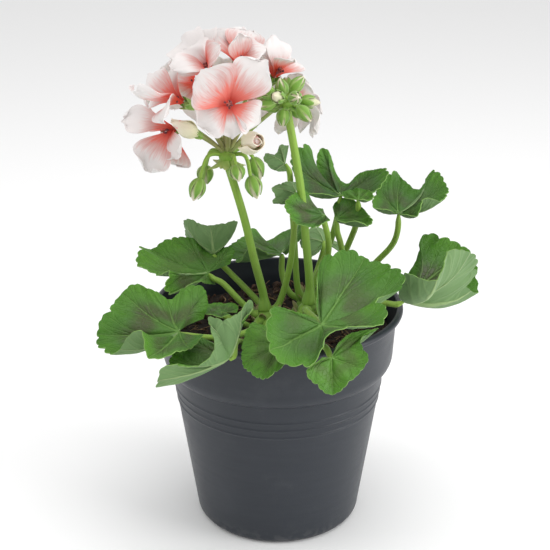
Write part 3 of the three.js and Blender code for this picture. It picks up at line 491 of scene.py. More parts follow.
class Nodes:
    """Makes a material's nodes. A socket given as an input is linked, and anything else is set."""

    def __init__(self, name):
        self.material = bpy.data.materials.new(name)
        self.material.use_nodes = True
        self.tree = self.material.node_tree
        self.shader = self.tree.nodes["Principled BSDF"]

    def put(self, socket, value):
        if isinstance(value, bpy.types.NodeSocket):
            self.tree.links.new(value, socket)
        elif isinstance(value, tuple) and len(value) == 3 and socket.type == "RGBA":
            socket.default_value = (*value, 1)
        else:
            socket.default_value = value

    def add(self, kind, inputs, **settings):
        node = self.tree.nodes.new(kind)
        for key, value in settings.items():
            setattr(node, key, value)
        for key, value in inputs.items():
            self.put(node.inputs[key], value)
        return node

    def math(self, operation, a, b=0.0, clamp=False):
        return self.add("ShaderNodeMath", {0: a, 1: b}, operation=operation, use_clamp=clamp).outputs[0]

    def times(self, a, b):
        return self.math("MULTIPLY", a, b)

    def plus(self, a, b, clamp=False):
        return self.math("ADD", a, b, clamp)

    def minus(self, a, b):
        return self.math("SUBTRACT", a, b)

    def rest(self, a):
        return self.math("SUBTRACT", 1.0, a)

    def over(self, a, b):
        return self.math("DIVIDE", a, b)

    def size(self, a):
        return self.math("ABSOLUTE", a)

    def plus_part(self, a, b, part):
        return self.plus(a, self.times(b, part))

    def swing(self, x, width):
        """From 0 to 1, turned to the given width round 0."""
        return self.times(self.minus(x, 0.5), width)

    def ease(self, low, high, x):
        inputs = {"Value": x, "From Min": low, "From Max": high}
        return self.add("ShaderNodeMapRange", inputs, interpolation_type="SMOOTHSTEP").outputs[0]

    def mix(self, share, a, b):
        return self.add("ShaderNodeMix", {0: share, 6: a, 7: b}, data_type="RGBA").outputs[2]

    def tint(self, colour, mask, strength, other):
        """The colour, turned towards the other one where the mask is."""
        return self.mix(self.times(mask, strength), colour, other)

    def noise(self, scale, detail=4.0, vector=None, roughness=0.5):
        inputs = {"Scale": scale, "Detail": detail, "Roughness": roughness}
        inputs["Vector"] = self.place() if vector is None else vector
        return self.add("ShaderNodeTexNoise", inputs).outputs["Fac"]

    def place(self):
        return self.add("ShaderNodeTexCoord", {}).outputs["Object"]

    def grain(self):
        uv = self.add("ShaderNodeUVMap", {}, uv_map="Grain").outputs["UV"]
        parts = self.add("ShaderNodeSeparateXYZ", {0: uv})
        return parts.outputs["X"], parts.outputs["Y"]

    def vector(self, x, y, z=0.0):
        return self.add("ShaderNodeCombineXYZ", {0: x, 1: y, 2: z}).outputs[0]

    def tone(self):
        return self.add("ShaderNodeAttribute", {}, attribute_name="tone").outputs["Fac"]

    def bump(self, height, distance):
        inputs = {"Height": height, "Distance": distance, "Strength": 1.0}
        return self.add("ShaderNodeBump", inputs).outputs[0]

    def finish(self, colour, roughness, normal=None, see_through=0.0, specular=0.5, **settings):
        self.put(self.shader.inputs["Base Color"], colour)
        self.put(self.shader.inputs["Roughness"], roughness)
        self.put(self.shader.inputs["Specular IOR Level"], specular)
        if normal is not None:
            self.put(self.shader.inputs["Normal"], normal)
        for key, value in settings.items():
            self.put(self.shader.inputs[key.replace("_", " ").title()], value)
        if see_through:
            glow = self.add("ShaderNodeBsdfTranslucent", {"Color": colour})
            inputs = {0: see_through, 1: self.shader.outputs[0], 2: glow.outputs[0]}
            both = self.add("ShaderNodeMixShader", inputs)
            end = self.tree.nodes["Material Output"]
            self.tree.links.new(both.outputs[0], end.inputs["Surface"])
        return self.material


DOWN = {"sheen_weight": 0.08, "sheen_roughness": 0.45, "sheen_tint": (0.8, 0.95, 0.7), "specular": 0.42}
MAIN_VEIN = 0.030  # half widths, as shares of a lobe's width at the rim
SIDE_VEIN = 0.018
# Side veins: the share of the way out where each leaves the vein within it, how far from the main
# vein it starts, and how fast it draws away.
SIDE_VEINS = [(0.26, 0.0, 0.56), (0.50, 0.0, 0.52), (0.70, 0.0, 0.60), (0.58, 0.18, 0.80)]


def vein_masks(n, spread_out=1.0):
    """Masks of a leaf's main and side veins, from its grain: lobes round it, and the way out."""
    lobe, out = n.grain()
    turned = n.plus(lobe, n.swing(n.noise(90.0, 2.0), 0.10))
    off = n.size(n.minus(n.math("FRACT", turned), 0.5))
    width = n.times(n.minus(1.35, out), MAIN_VEIN * spread_out)
    main = n.rest(n.ease(0.3, 1.0, n.over(n.times(off, out), width)))
    side = None
    for start, first, rate in SIDE_VEINS:
        run = n.minus(out, start)
        line = n.plus(n.times(run, rate), first)
        gap = n.times(n.size(n.minus(off, line)), out)
        here = n.rest(n.ease(0.3, 1.0, n.over(gap, SIDE_VEIN * spread_out)))
        here = n.times(here, n.ease(0.0, 0.03, run))
        side = here if side is None else n.math("MAXIMUM", side, here)
    return main, side, out, lobe


def leaf_upper():
    """Grey-green round the petiole, a broken brown zone half way out, and bright green at the edge."""
    n = Nodes("leaf_upper")
    main, side, out, lobe = vein_masks(n)
    cloud = n.ease(0.32, 0.68, n.noise(28.0, 3.0))
    fresh = n.mix(cloud, (0.078, 0.225, 0.016), (0.125, 0.315, 0.025))
    old = n.mix(cloud, (0.040, 0.112, 0.022), (0.080, 0.198, 0.042))
    colour = n.mix(n.tone(), old, fresh)
    drift = n.swing(n.noise(60.0, 3.0), 0.30)
    wave = n.times(n.math("COSINE", n.times(lobe, 2 * math.pi)), 0.05)
    ring = n.plus(n.plus(out, wave), drift)
    bright = n.mix(cloud, (0.055, 0.195, 0.008), (0.100, 0.290, 0.014))
    colour = n.tint(colour, n.ease(0.62, 1.0, ring), 0.85, bright)
    inner = n.ease(0.26, 0.44, ring)
    outer = n.rest(n.ease(0.52, 0.78, ring))
    zone = n.times(n.times(inner, outer), n.ease(0.25, 0.70, n.noise(22.0, 2.0)))
    colour = n.tint(colour, zone, 0.82, (0.072, 0.058, 0.034))
    cells = n.add("ShaderNodeTexVoronoi", {"Vector": n.place(), "Scale": 420.0}, feature="DISTANCE_TO_EDGE")
    net = n.rest(n.ease(0.0, 0.10, cells.outputs["Distance"]))
    colour = n.tint(colour, net, 0.14, (0.16, 0.36, 0.06))
    colour = n.tint(colour, side, 0.26, (0.15, 0.34, 0.06))
    colour = n.tint(colour, main, 0.48, (0.22, 0.42, 0.09))
    hollow = n.plus(n.times(main, -1.0), n.times(side, -0.6))
    height = n.plus_part(n.plus(hollow, n.times(net, -0.35)), n.noise(700.0, 2.0), 0.25)
    roughness = n.plus_part(0.36, n.noise(55.0, 4.0), 0.26)
    return n.finish(colour, roughness, n.bump(height, 0.00035), see_through=0.14, **DOWN)


def leaf_under():
    n = Nodes("leaf_under")
    main, side, out, _ = vein_masks(n, 1.25)
    cloud = n.ease(0.3, 0.7, n.noise(30.0, 3.0))
    colour = n.mix(cloud, (0.120, 0.250, 0.070), (0.195, 0.350, 0.120))
    shade = n.ease(0.35, 0.55, n.plus_part(out, n.noise(50.0, 2.0), 0.2))
    colour = n.tint(colour, shade, 0.22, (0.13, 0.20, 0.10))
    colour = n.tint(colour, side, 0.16, (0.30, 0.45, 0.17))
    colour = n.tint(colour, main, 0.60, (0.38, 0.53, 0.22))
    height = n.plus_part(n.plus_part(main, side, 0.3), n.noise(900.0, 2.0), 0.3)
    return n.finish(colour, 0.7, n.bump(height, 0.0004), see_through=0.16,
                    sheen_weight=0.15, sheen_roughness=0.5, sheen_tint=(0.9, 1.0, 0.85))


def leaf_edge():
    n = Nodes("leaf_edge")
    speck = n.noise(500.0, 2.0)
    colour = n.mix(speck, (0.12, 0.27, 0.045), (0.25, 0.40, 0.11))
    return n.finish(colour, 0.8, n.bump(speck, 0.0001), **DOWN)


def stem_material(name, pale, deep, blush, blush_share):
    """A downy green stem with fine lengthwise ribs. Its tone runs from the deep colour to the pale one."""
    n = Nodes(name)
    around, along = n.grain()
    tone = n.tone()
    streak = n.noise(1.0, 3.0, n.vector(n.times(around, 3.0), n.times(along, 0.05)))
    colour = n.mix(n.plus(tone, n.swing(streak, 0.7), clamp=True), deep, pale)
    colour = n.tint(colour, n.ease(0.50, 0.75, n.noise(60.0, 2.0)), blush_share, blush)
    hairs = n.noise(1600.0, 1.0)
    height = n.plus(n.times(streak, 0.6), n.times(hairs, 0.5))
    return n.finish(colour, 0.55, n.bump(height, 0.0003),
                    sheen_weight=0.3, sheen_roughness=0.35, sheen_tint=(0.95, 1.0, 0.85), specular=0.35)


def petal_material(name, red, coral, pink, white):
    """Coral red fans out from the claw in streaks, over a white petal. Tone: how far the red reaches."""
    n = Nodes(name)
    across, out = n.grain()
    tone = n.tone()
    fan = n.vector(n.times(across, 5.5), n.times(out, 1.1), n.times(tone, 9.0))
    streak = n.noise(1.6, 3.0, fan, 0.62)
    fine = n.noise(5.0, 2.0, fan, 0.5)
    mottle = n.noise(160.0, 2.0)
    push = n.plus(n.swing(streak, 0.80), n.swing(fine, 0.55))
    q = n.over(out, n.plus(n.times(tone, 0.85), 0.10))
    q = n.minus(q, n.times(push, n.ease(0.1, 0.9, q)))
    colour = n.mix(n.ease(0.10, 0.58, q), red, coral)
    colour = n.mix(n.ease(0.52, 0.86, q), colour, pink)
    colour = n.mix(n.ease(0.76, 1.42, q), colour, white)
    colour = n.tint(colour, mottle, 0.06, (0.93, 0.70, 0.66))
    ribs = n.plus(n.times(fine, 0.6), n.times(n.noise(1100.0, 2.0), 0.2))
    roughness = n.plus_part(0.42, mottle, 0.2)
    return n.finish(colour, roughness, n.bump(ribs, 0.00022), see_through=0.30, specular=0.22)


def pot_material():
    n = Nodes("pot_plastic")
    parts = n.add("ShaderNodeSeparateXYZ", {0: n.place()})
    drag = n.noise(260.0, 3.0)
    flow = n.vector(parts.outputs["X"], parts.outputs["Y"], n.times(parts.outputs["Z"], 9.0))
    rings = n.noise(38.0, 4.0, flow)
    dust = n.ease(0.52, 0.78, n.noise(45.0, 6.0, None, 0.65))
    colour = n.mix(rings, (0.0185, 0.0225, 0.0300), (0.027, 0.032, 0.041))
    colour = n.tint(colour, dust, 0.22, (0.085, 0.090, 0.098))
    foot = n.rest(n.ease(0.0, 0.010, parts.outputs["Z"]))
    colour = n.tint(colour, n.times(foot, n.ease(0.45, 0.6, drag)), 0.35, (0.12, 0.12, 0.12))
    roughness = n.plus_part(0.34, dust, 0.16)
    roughness = n.plus_part(roughness, rings, 0.10)
    height = n.plus(n.times(rings, 0.7), n.times(n.noise(2600.0, 1.0), 0.3))
    return n.finish(colour, roughness, n.bump(height, 0.00018), specular=0.36)


def soil_material(name, dark, light, scale):
    n = Nodes(name)
    clump = n.noise(scale, 8.0, None, 0.7)
    colour = n.mix(n.ease(0.35, 0.75, clump), dark, light)
    colour = n.tint(colour, n.tone(), 0.5, light)
    fleck = n.ease(0.66, 0.72, n.noise(scale * 4, 2.0))
    colour = n.tint(colour, fleck, 0.5, (0.16, 0.095, 0.050))
    return n.finish(colour, 0.92, n.bump(clump, 0.0012))


def plain_growth(name, low, high, scale, roughness=0.6, see_through=0.0):
    """A small organ whose colour runs along it, mottled: low at its foot and high at its tip."""
    n = Nodes(name)
    _, along = n.grain()
    mottle = n.noise(scale, 3.0)
    colour = n.mix(n.plus(along, n.swing(mottle, 0.5), clamp=True), low, high)
    return n.finish(colour, roughness, n.bump(mottle, 0.0002), see_through=see_through,
                    sheen_weight=0.25, sheen_roughness=0.5)


def sepal_material():
    """Green down the middle of each sepal and pale along its edges."""
    n = Nodes("sepal")
    across, along = n.grain()
    off = n.size(across)
    mottle = n.noise(420.0, 2.0)
    upwards = n.plus(along, n.times(mottle, 0.3), clamp=True)
    colour = n.mix(upwards, (0.24, 0.44, 0.045), (0.14, 0.32, 0.035))
    colour = n.mix(n.ease(0.55, 0.95, n.plus_part(off, mottle, 0.12)), colour, (0.34, 0.50, 0.13))
    colour = n.tint(colour, n.ease(0.82, 1.0, along), 0.4, (0.22, 0.12, 0.04))
    return n.finish(colour, 0.6, n.bump(mottle, 0.00025), see_through=0.1,
                    sheen_weight=0.4, sheen_roughness=0.5, sheen_tint=(0.95, 1.0, 0.85))


POT = pot_material()
SOIL = soil_material("potting_soil", (0.0035, 0.0025, 0.0022), (0.034, 0.019, 0.012), 190.0)
CRUMB = soil_material("soil_crumb", (0.006, 0.004, 0.003), (0.120, 0.060, 0.036), 420.0)
FIBRE = soil_material("plant_fibre", (0.060, 0.028, 0.014), (0.40, 0.26, 0.13), 600.0)
LEAF = [leaf_upper(), leaf_under(), leaf_edge()]
STEM = stem_material("stem", (0.30, 0.48, 0.070), (0.140, 0.300, 0.034), (0.20, 0.20, 0.07), 0.25)
PEDICEL = stem_material("pedicel", (0.34, 0.44, 0.14), (0.22, 0.30, 0.07), (0.22, 0.12, 0.06), 0.5)
STIPULE = plain_growth("stipule", (0.22, 0.36, 0.09), (0.30, 0.22, 0.10), 300.0, see_through=0.15)
PETAL_FACE = petal_material("petal_face", (0.94, 0.062, 0.030), (0.98, 0.155, 0.095), (0.97, 0.47, 0.43),
                            (0.935, 0.925, 0.915))
PETAL_BACK = petal_material("petal_back", (0.78, 0.08, 0.05), (0.86, 0.23, 0.18), (0.78, 0.50, 0.47),
                            (0.885, 0.855, 0.845))
SEPAL = sepal_material()
BRACT = plain_growth("bract", (0.30, 0.48, 0.075), (0.50, 0.60, 0.19), 300.0, see_through=0.15)
CREAM = plain_growth("bud_petals", (0.40, 0.52, 0.15), (0.84, 0.78, 0.60), 260.0, 0.5, 0.15)
FILAMENT = plain_growth("filament", (0.62, 0.06, 0.05), (0.42, 0.03, 0.035), 500.0)
ANTHER = plain_growth("anther", (0.085, 0.010, 0.014), (0.17, 0.020, 0.022), 900.0)
STYLE = plain_growth("style", (0.26, 0.33, 0.10), (0.42, 0.08, 0.06), 500.0)
ROSE = plain_growth("opening_petal", (0.88, 0.86, 0.56), (0.95, 0.89, 0.76), 300.0, 0.5, 0.25)

# ---------------------------------------------------------------- leaves

LEAF_THICKNESS = 0.4
STEPS_BETWEEN_RIM_POINTS = 14
RINGS = 26
SINUS_FADE = 0.05  # share of the rim beside the leaf stalk's notch that has no teeth
LOBE_DEPTH = 0.055  # as shares of the way out
TOOTH_DEPTH = 0.042
TEETH_PER_LOBE = 5
NORMAL_SMOOTHING = 30
VEIN_DEPTH = 0.55
VEIN_WIDTH = 0.9
SIDE_VEIN_DEPTH = 0.15
SIDE_VEIN_WIDTH = 0.8
FOLD = 0.070  # how far each lobe folds up beside its vein, as a share of its reach
EDGE_WAVE = 0.060  # as a share of its reach


def rim_share(phase, around):
    """How far out the edge reaches at each point of the rim: rounded lobes with small rounded teeth."""
    from_notch = np.abs(np.sin(np.pi * phase))
    lobed = LOBE_DEPTH * (1 - np.clip(from_notch * 2.2, 0, 1) ** 0.7)
    toothed = TOOTH_DEPTH * (1 - np.abs(np.sin(np.pi * phase * TEETH_PER_LOBE)) ** 0.55)
    return 1 - (lobed + toothed) * away_from_sinus(around)


def away_from_sinus(around):
    """1 round the blade, falling to 0 at both sides of the notch where the leaf stalk comes in."""
    return ease(0, SINUS_FADE, around) * ease(0, SINUS_FADE, 1 - around)


def leaf_surface(name, leaf):
    """The blade's grid of points: a ray from its centre to each point of its rim."""
    centre = spread(leaf["centre"])
    count = (len(leaf["rim"]) - 1) * STEPS_BETWEEN_RIM_POINTS + 1
    rays = curve_through([spread(p) for p in leaf["rim"]], count, 0.0) - centre
    around = lengths_along(rays)
    perimeter = around[-1]
    around = around / perimeter
    phase = around * leaf["lobes"]
    reach = np.linalg.norm(rays, axis=1)[:, None]
    normals = np.cross(np.roll(rays, 1, axis=0), np.roll(rays, -1, axis=0))
    normals[0], normals[-1] = normals[1], normals[-2]
    normals = unit(smoothed(unit(normals), NORMAL_SMOOTHING))
    uv = grain(phase, np.linspace(0, 1, RINGS + 1) ** 0.9)
    out = uv[:, :, 1]
    fullness = 1 - (1 - rim_share(phase, around))[:, None] * ease(0.6, 1, out)
    height = -leaf["bow"] * reach * 4 * out * (1 - out)
    height += leaf_relief(name, uv, around, reach, perimeter / leaf["lobes"], leaf.get("ruffle", 1))
    return centre + rays[:, None] * (out * fullness)[:, :, None] + normals[:, None] * height[:, :, None], uv


def leaf_relief(name, uv, around, reach, lobe_width, ruffle):
    """Valleys along the veins, the blade puffed up between them, and a slightly waved edge."""
    out = uv[:, :, 1]
    off = np.abs(uv[:, :, 0] % 1 - 0.5)
    vein = -VEIN_DEPTH * np.exp(-((off * out * lobe_width / VEIN_WIDTH) ** 2)) * ease(0.0, 0.1, out)
    fold = FOLD * reach * out**1.3 * (off * 2) ** 1.2 * ease(0.02, 0.3, out)
    puff = 0
    for start, first, rate in SIDE_VEINS:
        gap = np.abs(off - first - rate * (out - start)) * out * lobe_width
        side = np.exp(-((gap / SIDE_VEIN_WIDTH) ** 2)) * ease(0, 0.05, out - start)
        puff = puff - SIDE_VEIN_DEPTH * side
    seed = random.Random(name).random() * 50
    bumps = np.array([noise.noise((seed, a * 11, 0)) for a in around])[:, None]
    wave = EDGE_WAVE * ruffle * reach * bumps * out**3
    return vein + puff + (fold + wave) * away_from_sinus(around)[:, None]


def make_leaf(name, leaf):
    grid, uv = leaf_surface(name, leaf)
    piece = Piece()
    add_sheet(piece, grid, LEAF_THICKNESS, uv, leaf["tone"], centred=True)
    piece.finish(f"blade_{name}", LEAF, "leaf", [f"leaf_{name}"])


# ---------------------------------------------------------------- stems

NODE_RADIUS = 5
NODE_OVERLAP = 1.0  # how far a stem starts inside its node
PETIOLE_RUN_IN = 4
PETIOLE_TURN = 0.5
PETIOLE_RADIUS = 1.598
PETIOLE_SMOOTHING = 24
PETIOLE_SEAT = 0.9  # its middle line ends this far under the blade
PETIOLE_FLARE = 0.55  # how much wider its foot is
PETIOLE_TAPER = 0.12
STALK_RADIUS = 2.0
STALK_FLARE = 0.65
STALK_TAPER = 0.10
CROWN_RADIUS = 3.9
NODE_WIDTH = 9.8
STIPULES = 6


def off_node(stem, towards):
    """Where a stem that heads for a point leaves the swollen end of a crown stem."""
    middle = spread(CROWN_STEMS[stem][-1])
    return middle + unit(towards - middle) * (NODE_RADIUS - NODE_OVERLAP)


def leaf_normal(leaf):
    rays = np.array([spread(p) for p in leaf["rim"]]) - spread(leaf["centre"])
    return unit(np.cross(rays[:-1], rays[1:]).sum(axis=0))


def share_along(path):
    return lengths_along(path) / lengths_along(path)[-1]


def make_petiole(name, leaf):
    centre = spread(leaf["centre"])
    stops = [spread(p) for p in leaf["petiole"]]
    up = leaf_normal(leaf)
    run = unit(unit(centre - stops[-1]) + up * PETIOLE_TURN)
    way = [off_node(leaf["from"], stops[0]), *stops]
    way += [centre - run * PETIOLE_RUN_IN, centre - up * PETIOLE_SEAT]
    path = smoothed(curve_through(way, 12 * len(way)), PETIOLE_SMOOTHING)
    along = share_along(path)
    radius = PETIOLE_RADIUS * (1 + PETIOLE_FLARE * (1 - ease(0, 0.10, along)) - PETIOLE_TAPER * along)
    radius = radius * (1 - 0.45 * ease(0.93, 1.0, along))
    piece = Piece()
    add_tube(piece, path, radius, 14, tone=0.35 + 0.4 * along, ridges=0.02)
    piece.finish(f"leaf_stalk_of_{name}", [STEM], "stem", [f"petiole_{name}"])


def make_stalk(name, stalk):
    points = [spread(p) for p in stalk["way"]]
    path = curve_through([off_node(stalk["from"], points[0]), *points], 90)
    along = share_along(path)
    radius = STALK_RADIUS * (1 + STALK_FLARE * (1 - ease(0, 0.09, along)) - STALK_TAPER * along)
    piece = Piece()
    add_tube(piece, path, radius, 20, tone=0.25 + 0.6 * along, ridges=0.015)
    piece.finish(f"flower_stalk_{name}", [STEM], "stem", [f"stalk_{name}"])


def add_scale(piece, foot, tip, facing, width, slot, cup=0.35, thickness=0.3):
    """A small pointed leaf-like scale: a sepal, bract or stipule."""
    along = np.subtract(tip, foot)
    face = unit(facing - unit(along) * (facing @ unit(along)))
    side = np.cross(unit(along), face)
    uv = grain(np.linspace(1, -1, 7), np.linspace(0, 1, 9))
    across, out = uv[:, :, :1], uv[:, :, 1:]
    half = width / 2 * np.sin(np.pi * np.clip(out * 0.86 + 0.12, 0, 1)) ** 0.8
    half[:, -1] = 0.05
    lift = cup * across**2 * half - 0.10 * np.linalg.norm(along) * np.sin(np.pi * out)
    grid = foot + along * out + side * across * half + face * lift
    add_sheet(piece, grid, thickness, uv, slots=(slot,) * 3)


def make_crown():
    """The short main stems, each swollen at its end, with papery stipules where leaves come off."""
    piece = Piece()
    shuffle = random.Random("stipules")
    along = np.linspace(0, 1, 30)
    radius = CROWN_RADIUS + 0.5 * np.cos(along * 9) + 0.9 * ease(0.6, 1, along)
    radius = radius * np.where(along > 0.93, np.sqrt(np.clip(1 - ((along - 0.93) / 0.075) ** 2, 0.1, 1)), 1)
    half_node = np.array([0, 0, NODE_WIDTH / 2])
    for way in CROWN_STEMS.values():
        path = curve_through([spread(p) for p in way], len(along))
        end = path[-1]
        add_tube(piece, path, radius, 18, tone=0.15 + 0.2 * along, ridges=0.04)
        node = egg(NODE_WIDTH, 14, 0.8, 0.5)
        add_lathe(piece, end - half_node, end + half_node, node, 18, tone=0.3, ripple=0.05, lobes=3)
        for turn in full_turn(STIPULES):
            out = level(turn + shuffle.random())
            foot = end + out * 4.6 + [0, 0, shuffle.uniform(-3, 2)]
            tip = foot + out * shuffle.uniform(2, 4) + [0, 0, shuffle.uniform(3, 6)]
            add_scale(piece, foot, tip, out, shuffle.uniform(3.5, 5), 1)
    piece.finish("main_stems", [STEM, STIPULE], "stem", ["crown"])


# ---------------------------------------------------------------- flowers

PETAL_ROWS = 15
PETAL_COLUMNS = 22
PETAL_CLAW = 0.14
PETAL_WIDEST = 0.66
PETAL_BLUNT = 0.34  # width at the very tip, as a share of the petal's
PETAL_TIP_ROUND = 0.13
PETAL_FULLNESS = 1.14  # for the width that the ruffles draw in
PETAL_WAVE = 0.130  # as shares of its width
PETAL_CRIMP = 0.055
PETAL_THICKNESS = 0.28
PETAL_ARCH = 0.13
CALYX_LENGTH = 6
STAMENS = 6


def petal_grid(flower, petal, seed):
    """An obovate sheet that rises from the throat, spreads, and ruffles towards its tip."""
    throat, tip = spread(flower["throat"]), spread(petal.tip)
    width = petal.width * PETAL_FULLNESS
    length = np.linalg.norm(tip - throat)
    along = unit(tip - throat)
    facing = unit(petal.face or flower["facing"])
    face = unit(facing - along * (facing @ along))
    side = np.cross(along, face)
    t = np.sin(np.linspace(0, 1, PETAL_COLUMNS) * np.pi / 2) ** 1.15
    past = np.clip((t - PETAL_WIDEST) / (1 - PETAL_WIDEST), 0, 1)
    half = width / 2 * (PETAL_CLAW + (1 - PETAL_CLAW) * ease(0, PETAL_WIDEST, t))
    half = half * np.sqrt(np.clip(1 - past**2.4, PETAL_BLUNT**2, 1))
    across = np.linspace(-1, 1, PETAL_ROWS)
    arch = PETAL_ARCH * length * np.sin(np.pi * t**0.8)
    bend = petal.curl * length * np.clip((t - 0.62) / 0.38, 0, 1) ** 2
    grid = np.zeros((PETAL_ROWS, PETAL_COLUMNS, 3))
    for i, a in enumerate(across):
        for j, s in enumerate(t):
            wave = noise.noise((seed * 7.3, a * 1.7, s * 2.6)) * PETAL_WAVE * width * s**2
            crimp = noise.noise((seed * 3.1, a * 6.0, s * 4.0)) * PETAL_CRIMP * width * s**3
            pull = 1 + 0.10 * noise.noise((seed * 5.7, a * 2.2, 1.5)) * s
            lift = arch[j] + petal.cup * width * a * a * s + wave + crimp - bend[j]
            run = length * (s * pull - PETAL_TIP_ROUND * a * a * past[j]) - 0.21 * bend[j]
            grid[i, j] = throat + along * (0.6 + run) + side * (half[j] * a) + face * lift
    return grid, grain(across, t)


def add_stamens(piece, throat, facing, shuffle, slots):
    """Stamens round a style whose top parts in five. slots: filament, anther, style."""
    filament, anther, style = slots
    lift, other = frame_on(facing)
    for turn in full_turn(STAMENS):
        turn = turn + shuffle.uniform(-0.3, 0.3)
        way = unit(facing + spokes(turn, lift, other) * shuffle.uniform(0.12, 0.38))
        length = shuffle.uniform(4.2, 6.8)
        end = throat + way * length
        middle = throat + facing * length * 0.5 + (end - throat - facing * length) * 0.2
        add_tube(piece, curve_through([throat - facing * 1.5, middle, end], 8), 0.22, 6, filament)
        turned = unit(way + np.array([shuffle.uniform(-1, 1) for _ in range(3)])) * 0.85
        add_lathe(piece, end - turned, end + turned, egg(1.05, 7, 0.7, 0.5), 8, anther, ripple=0.15, lobes=2)
    top = throat + facing * 6.0
    add_tube(piece, [throat - facing, throat + facing * 3, top], [0.5, 0.4, 0.3], 8, style)
    for turn in full_turn(5):
        way = spokes(turn + 0.3, lift, other)
        path = [top - facing * 0.2, top + facing * 0.7 + way * 0.4, top + facing * 0.8 + way * 1.2]
        add_tube(piece, curve_through(path, 5), [0.26, 0.24, 0.2, 0.16, 0.1], 6, style)


def add_calyx(piece, foot, facing, length=6.8, width=3.0):
    """Five narrow sepals, in slot 2, that hold the claws of the petals."""
    lift, other = frame_on(facing)
    for turn in full_turn(5):
        out = spokes(turn + 0.6, lift, other)
        add_scale(piece, foot + out * 0.9, foot + facing * length + out * 3.0, out, width, 2, thickness=0.35)


def make_flower(name, flower):
    piece = Piece()
    shuffle = random.Random(name)
    facing = unit(flower["facing"])
    throat = spread(flower["throat"])
    foot = throat - facing * CALYX_LENGTH
    for k, petal in enumerate(flower["petals"]):
        grid, uv = petal_grid(flower, petal, shuffle.random() * 10 + k)
        add_sheet(piece, grid + facing * 0.25 * k, PETAL_THICKNESS, uv, petal.blush, (0, 1, 1))
    add_calyx(piece, foot, facing)
    add_lathe(piece, foot - facing * 0.8, throat + facing * 0.6, egg(3.6, 9, 0.7, 0.45), 12, 2, ripple=0.06)
    add_stamens(piece, throat, facing, shuffle, (3, 4, 5))
    materials = [PETAL_FACE, PETAL_BACK, SEPAL, FILAMENT, ANTHER, STYLE]
    piece.finish(f"flower_head_{name}", materials, "petal", [f"flower_{name}"])


# ---------------------------------------------------------------- buds and their stalks

BUD_WIDTH = 7
CLUSTER_BUD_WIDTH = 5.4
PEDICEL_RADIUS = 0.85
ROLLED_PETALS = 7
ROLLED_SPAN = 3.4  # the turn that each of them spans


def add_bud(piece, foot, tip, width, seed, cover=0.86, gape=0.0, wrap=0.74):
    """A pointed bud: cream petals, in slot 0, rolled within five sepals, in slot 1.

    cover: how far up the sepals reach. gape: how far they stand off. wrap: half the turn that each spans.
    """
    along = unit(tip - foot)
    length = np.linalg.norm(tip - foot)
    lift, other = frame_on(along)
    add_lathe(piece, foot, tip, egg(width * 0.90, 18, 0.85), 24, ripple=0.045, twist=2.4)
    body = np.array(egg(width, 60, 0.85))
    across, t = np.linspace(-1, 1, 9), np.linspace(0.0, cover, 14)
    for k, middle in enumerate(full_turn(5)):
        reach = t if k % 2 else t * (1 - 0.10 * gape)
        radius = np.interp(reach, body[:, 0], body[:, 1]) + 0.16 + 0.12 * (k % 2) + 0.5 * gape * reach**2
        spanned = wrap * (1 - (reach / (cover * 1.03)) ** 2.4) + 0.02
        sepal = []
        for a in across:
            ridge = 0.035 * width * (1 - abs(a)) ** 1.5
            out = spokes(middle + seed + a * spanned, lift, other)
            sepal.append(foot + np.outer(reach * length, along) + out * (radius + ridge)[:, None])
        add_sheet(piece, np.array(sepal[::-1]), 0.26, grain(across, t)[::-1], slots=(1, 1, 1))


def make_hanging_bud(name, bud):
    piece = Piece()
    seed = random.Random(name).random() * 3
    add_bud(piece, spread(bud["top"]), spread(bud["point"]), BUD_WIDTH, seed, wrap=0.58)
    piece.finish(f"closed_{name}", [CREAM, SEPAL], "bud", [f"bud_{name}"])


def add_rolled_petal(piece, foot, tip, width, start, mouth, slot, tone):
    """A petal wrapped round a bud's axis. mouth: its radius at the rim, as a share of the widest."""
    along = unit(tip - foot)
    length = np.linalg.norm(tip - foot)
    lift, other = frame_on(along)
    t = np.linspace(0.05, 1, 16)
    swell = np.sin(np.pi * np.clip(t, 0, 0.5)) ** 0.7
    radius = width / 2 * (swell * (1 - ease(0.45, 1.0, t)) + mouth * ease(0.45, 1.0, t))
    rolled = []
    for a in np.linspace(0, 1, 20):
        out = spokes(start + a * ROLLED_SPAN, lift, other)
        drop = 1 - 0.16 * (2 * a - 1) ** 4 + 0.03 * np.sin(a * 9 + start)
        rolled.append(foot + np.outer(t * length * drop, along) + np.outer(radius * (1 - 0.20 * a), out))
    uv = grain(np.linspace(-1, 1, len(rolled)), t)
    add_sheet(piece, np.array(rolled[::-1]), 0.3, uv[::-1], tone, (slot,) * 3)


def make_opening_bud(name, bud):
    """A bud about to open: petals rolled round each other like a rose, above short sepals."""
    piece = Piece()
    foot, tip = spread(bud["base"]), spread(bud["tip"])
    width = bud["width"]
    for k in range(ROLLED_PETALS):
        reach = foot + (tip - foot) * (0.86 + 0.07 * min(k, 2) - 0.012 * k)
        mouth = bud["mouth"] * (1 - 0.10 * k)
        slot = int(k >= bud["coloured_from"])
        add_rolled_petal(piece, foot, reach, width * (1 - 0.125 * k), k * 2.1 + bud["turn"], mouth, slot,
                         0.28 + 0.1 * k)
    heart = egg(width * 0.52, 12, 0.5, 0.6)
    add_lathe(piece, foot, foot + (tip - foot) * 0.93, heart, 20, 1, 0.9, ripple=0.12, lobes=3, twist=3.0)
    facing = unit(tip - foot)
    calyx = foot - facing * 1.5
    add_calyx(piece, calyx, facing, np.linalg.norm(tip - foot) * 0.55, 3.4)
    piece.finish(f"half_open_{name}", [ROSE, PETAL_FACE, SEPAL], "petal", [f"bud_{name}"])


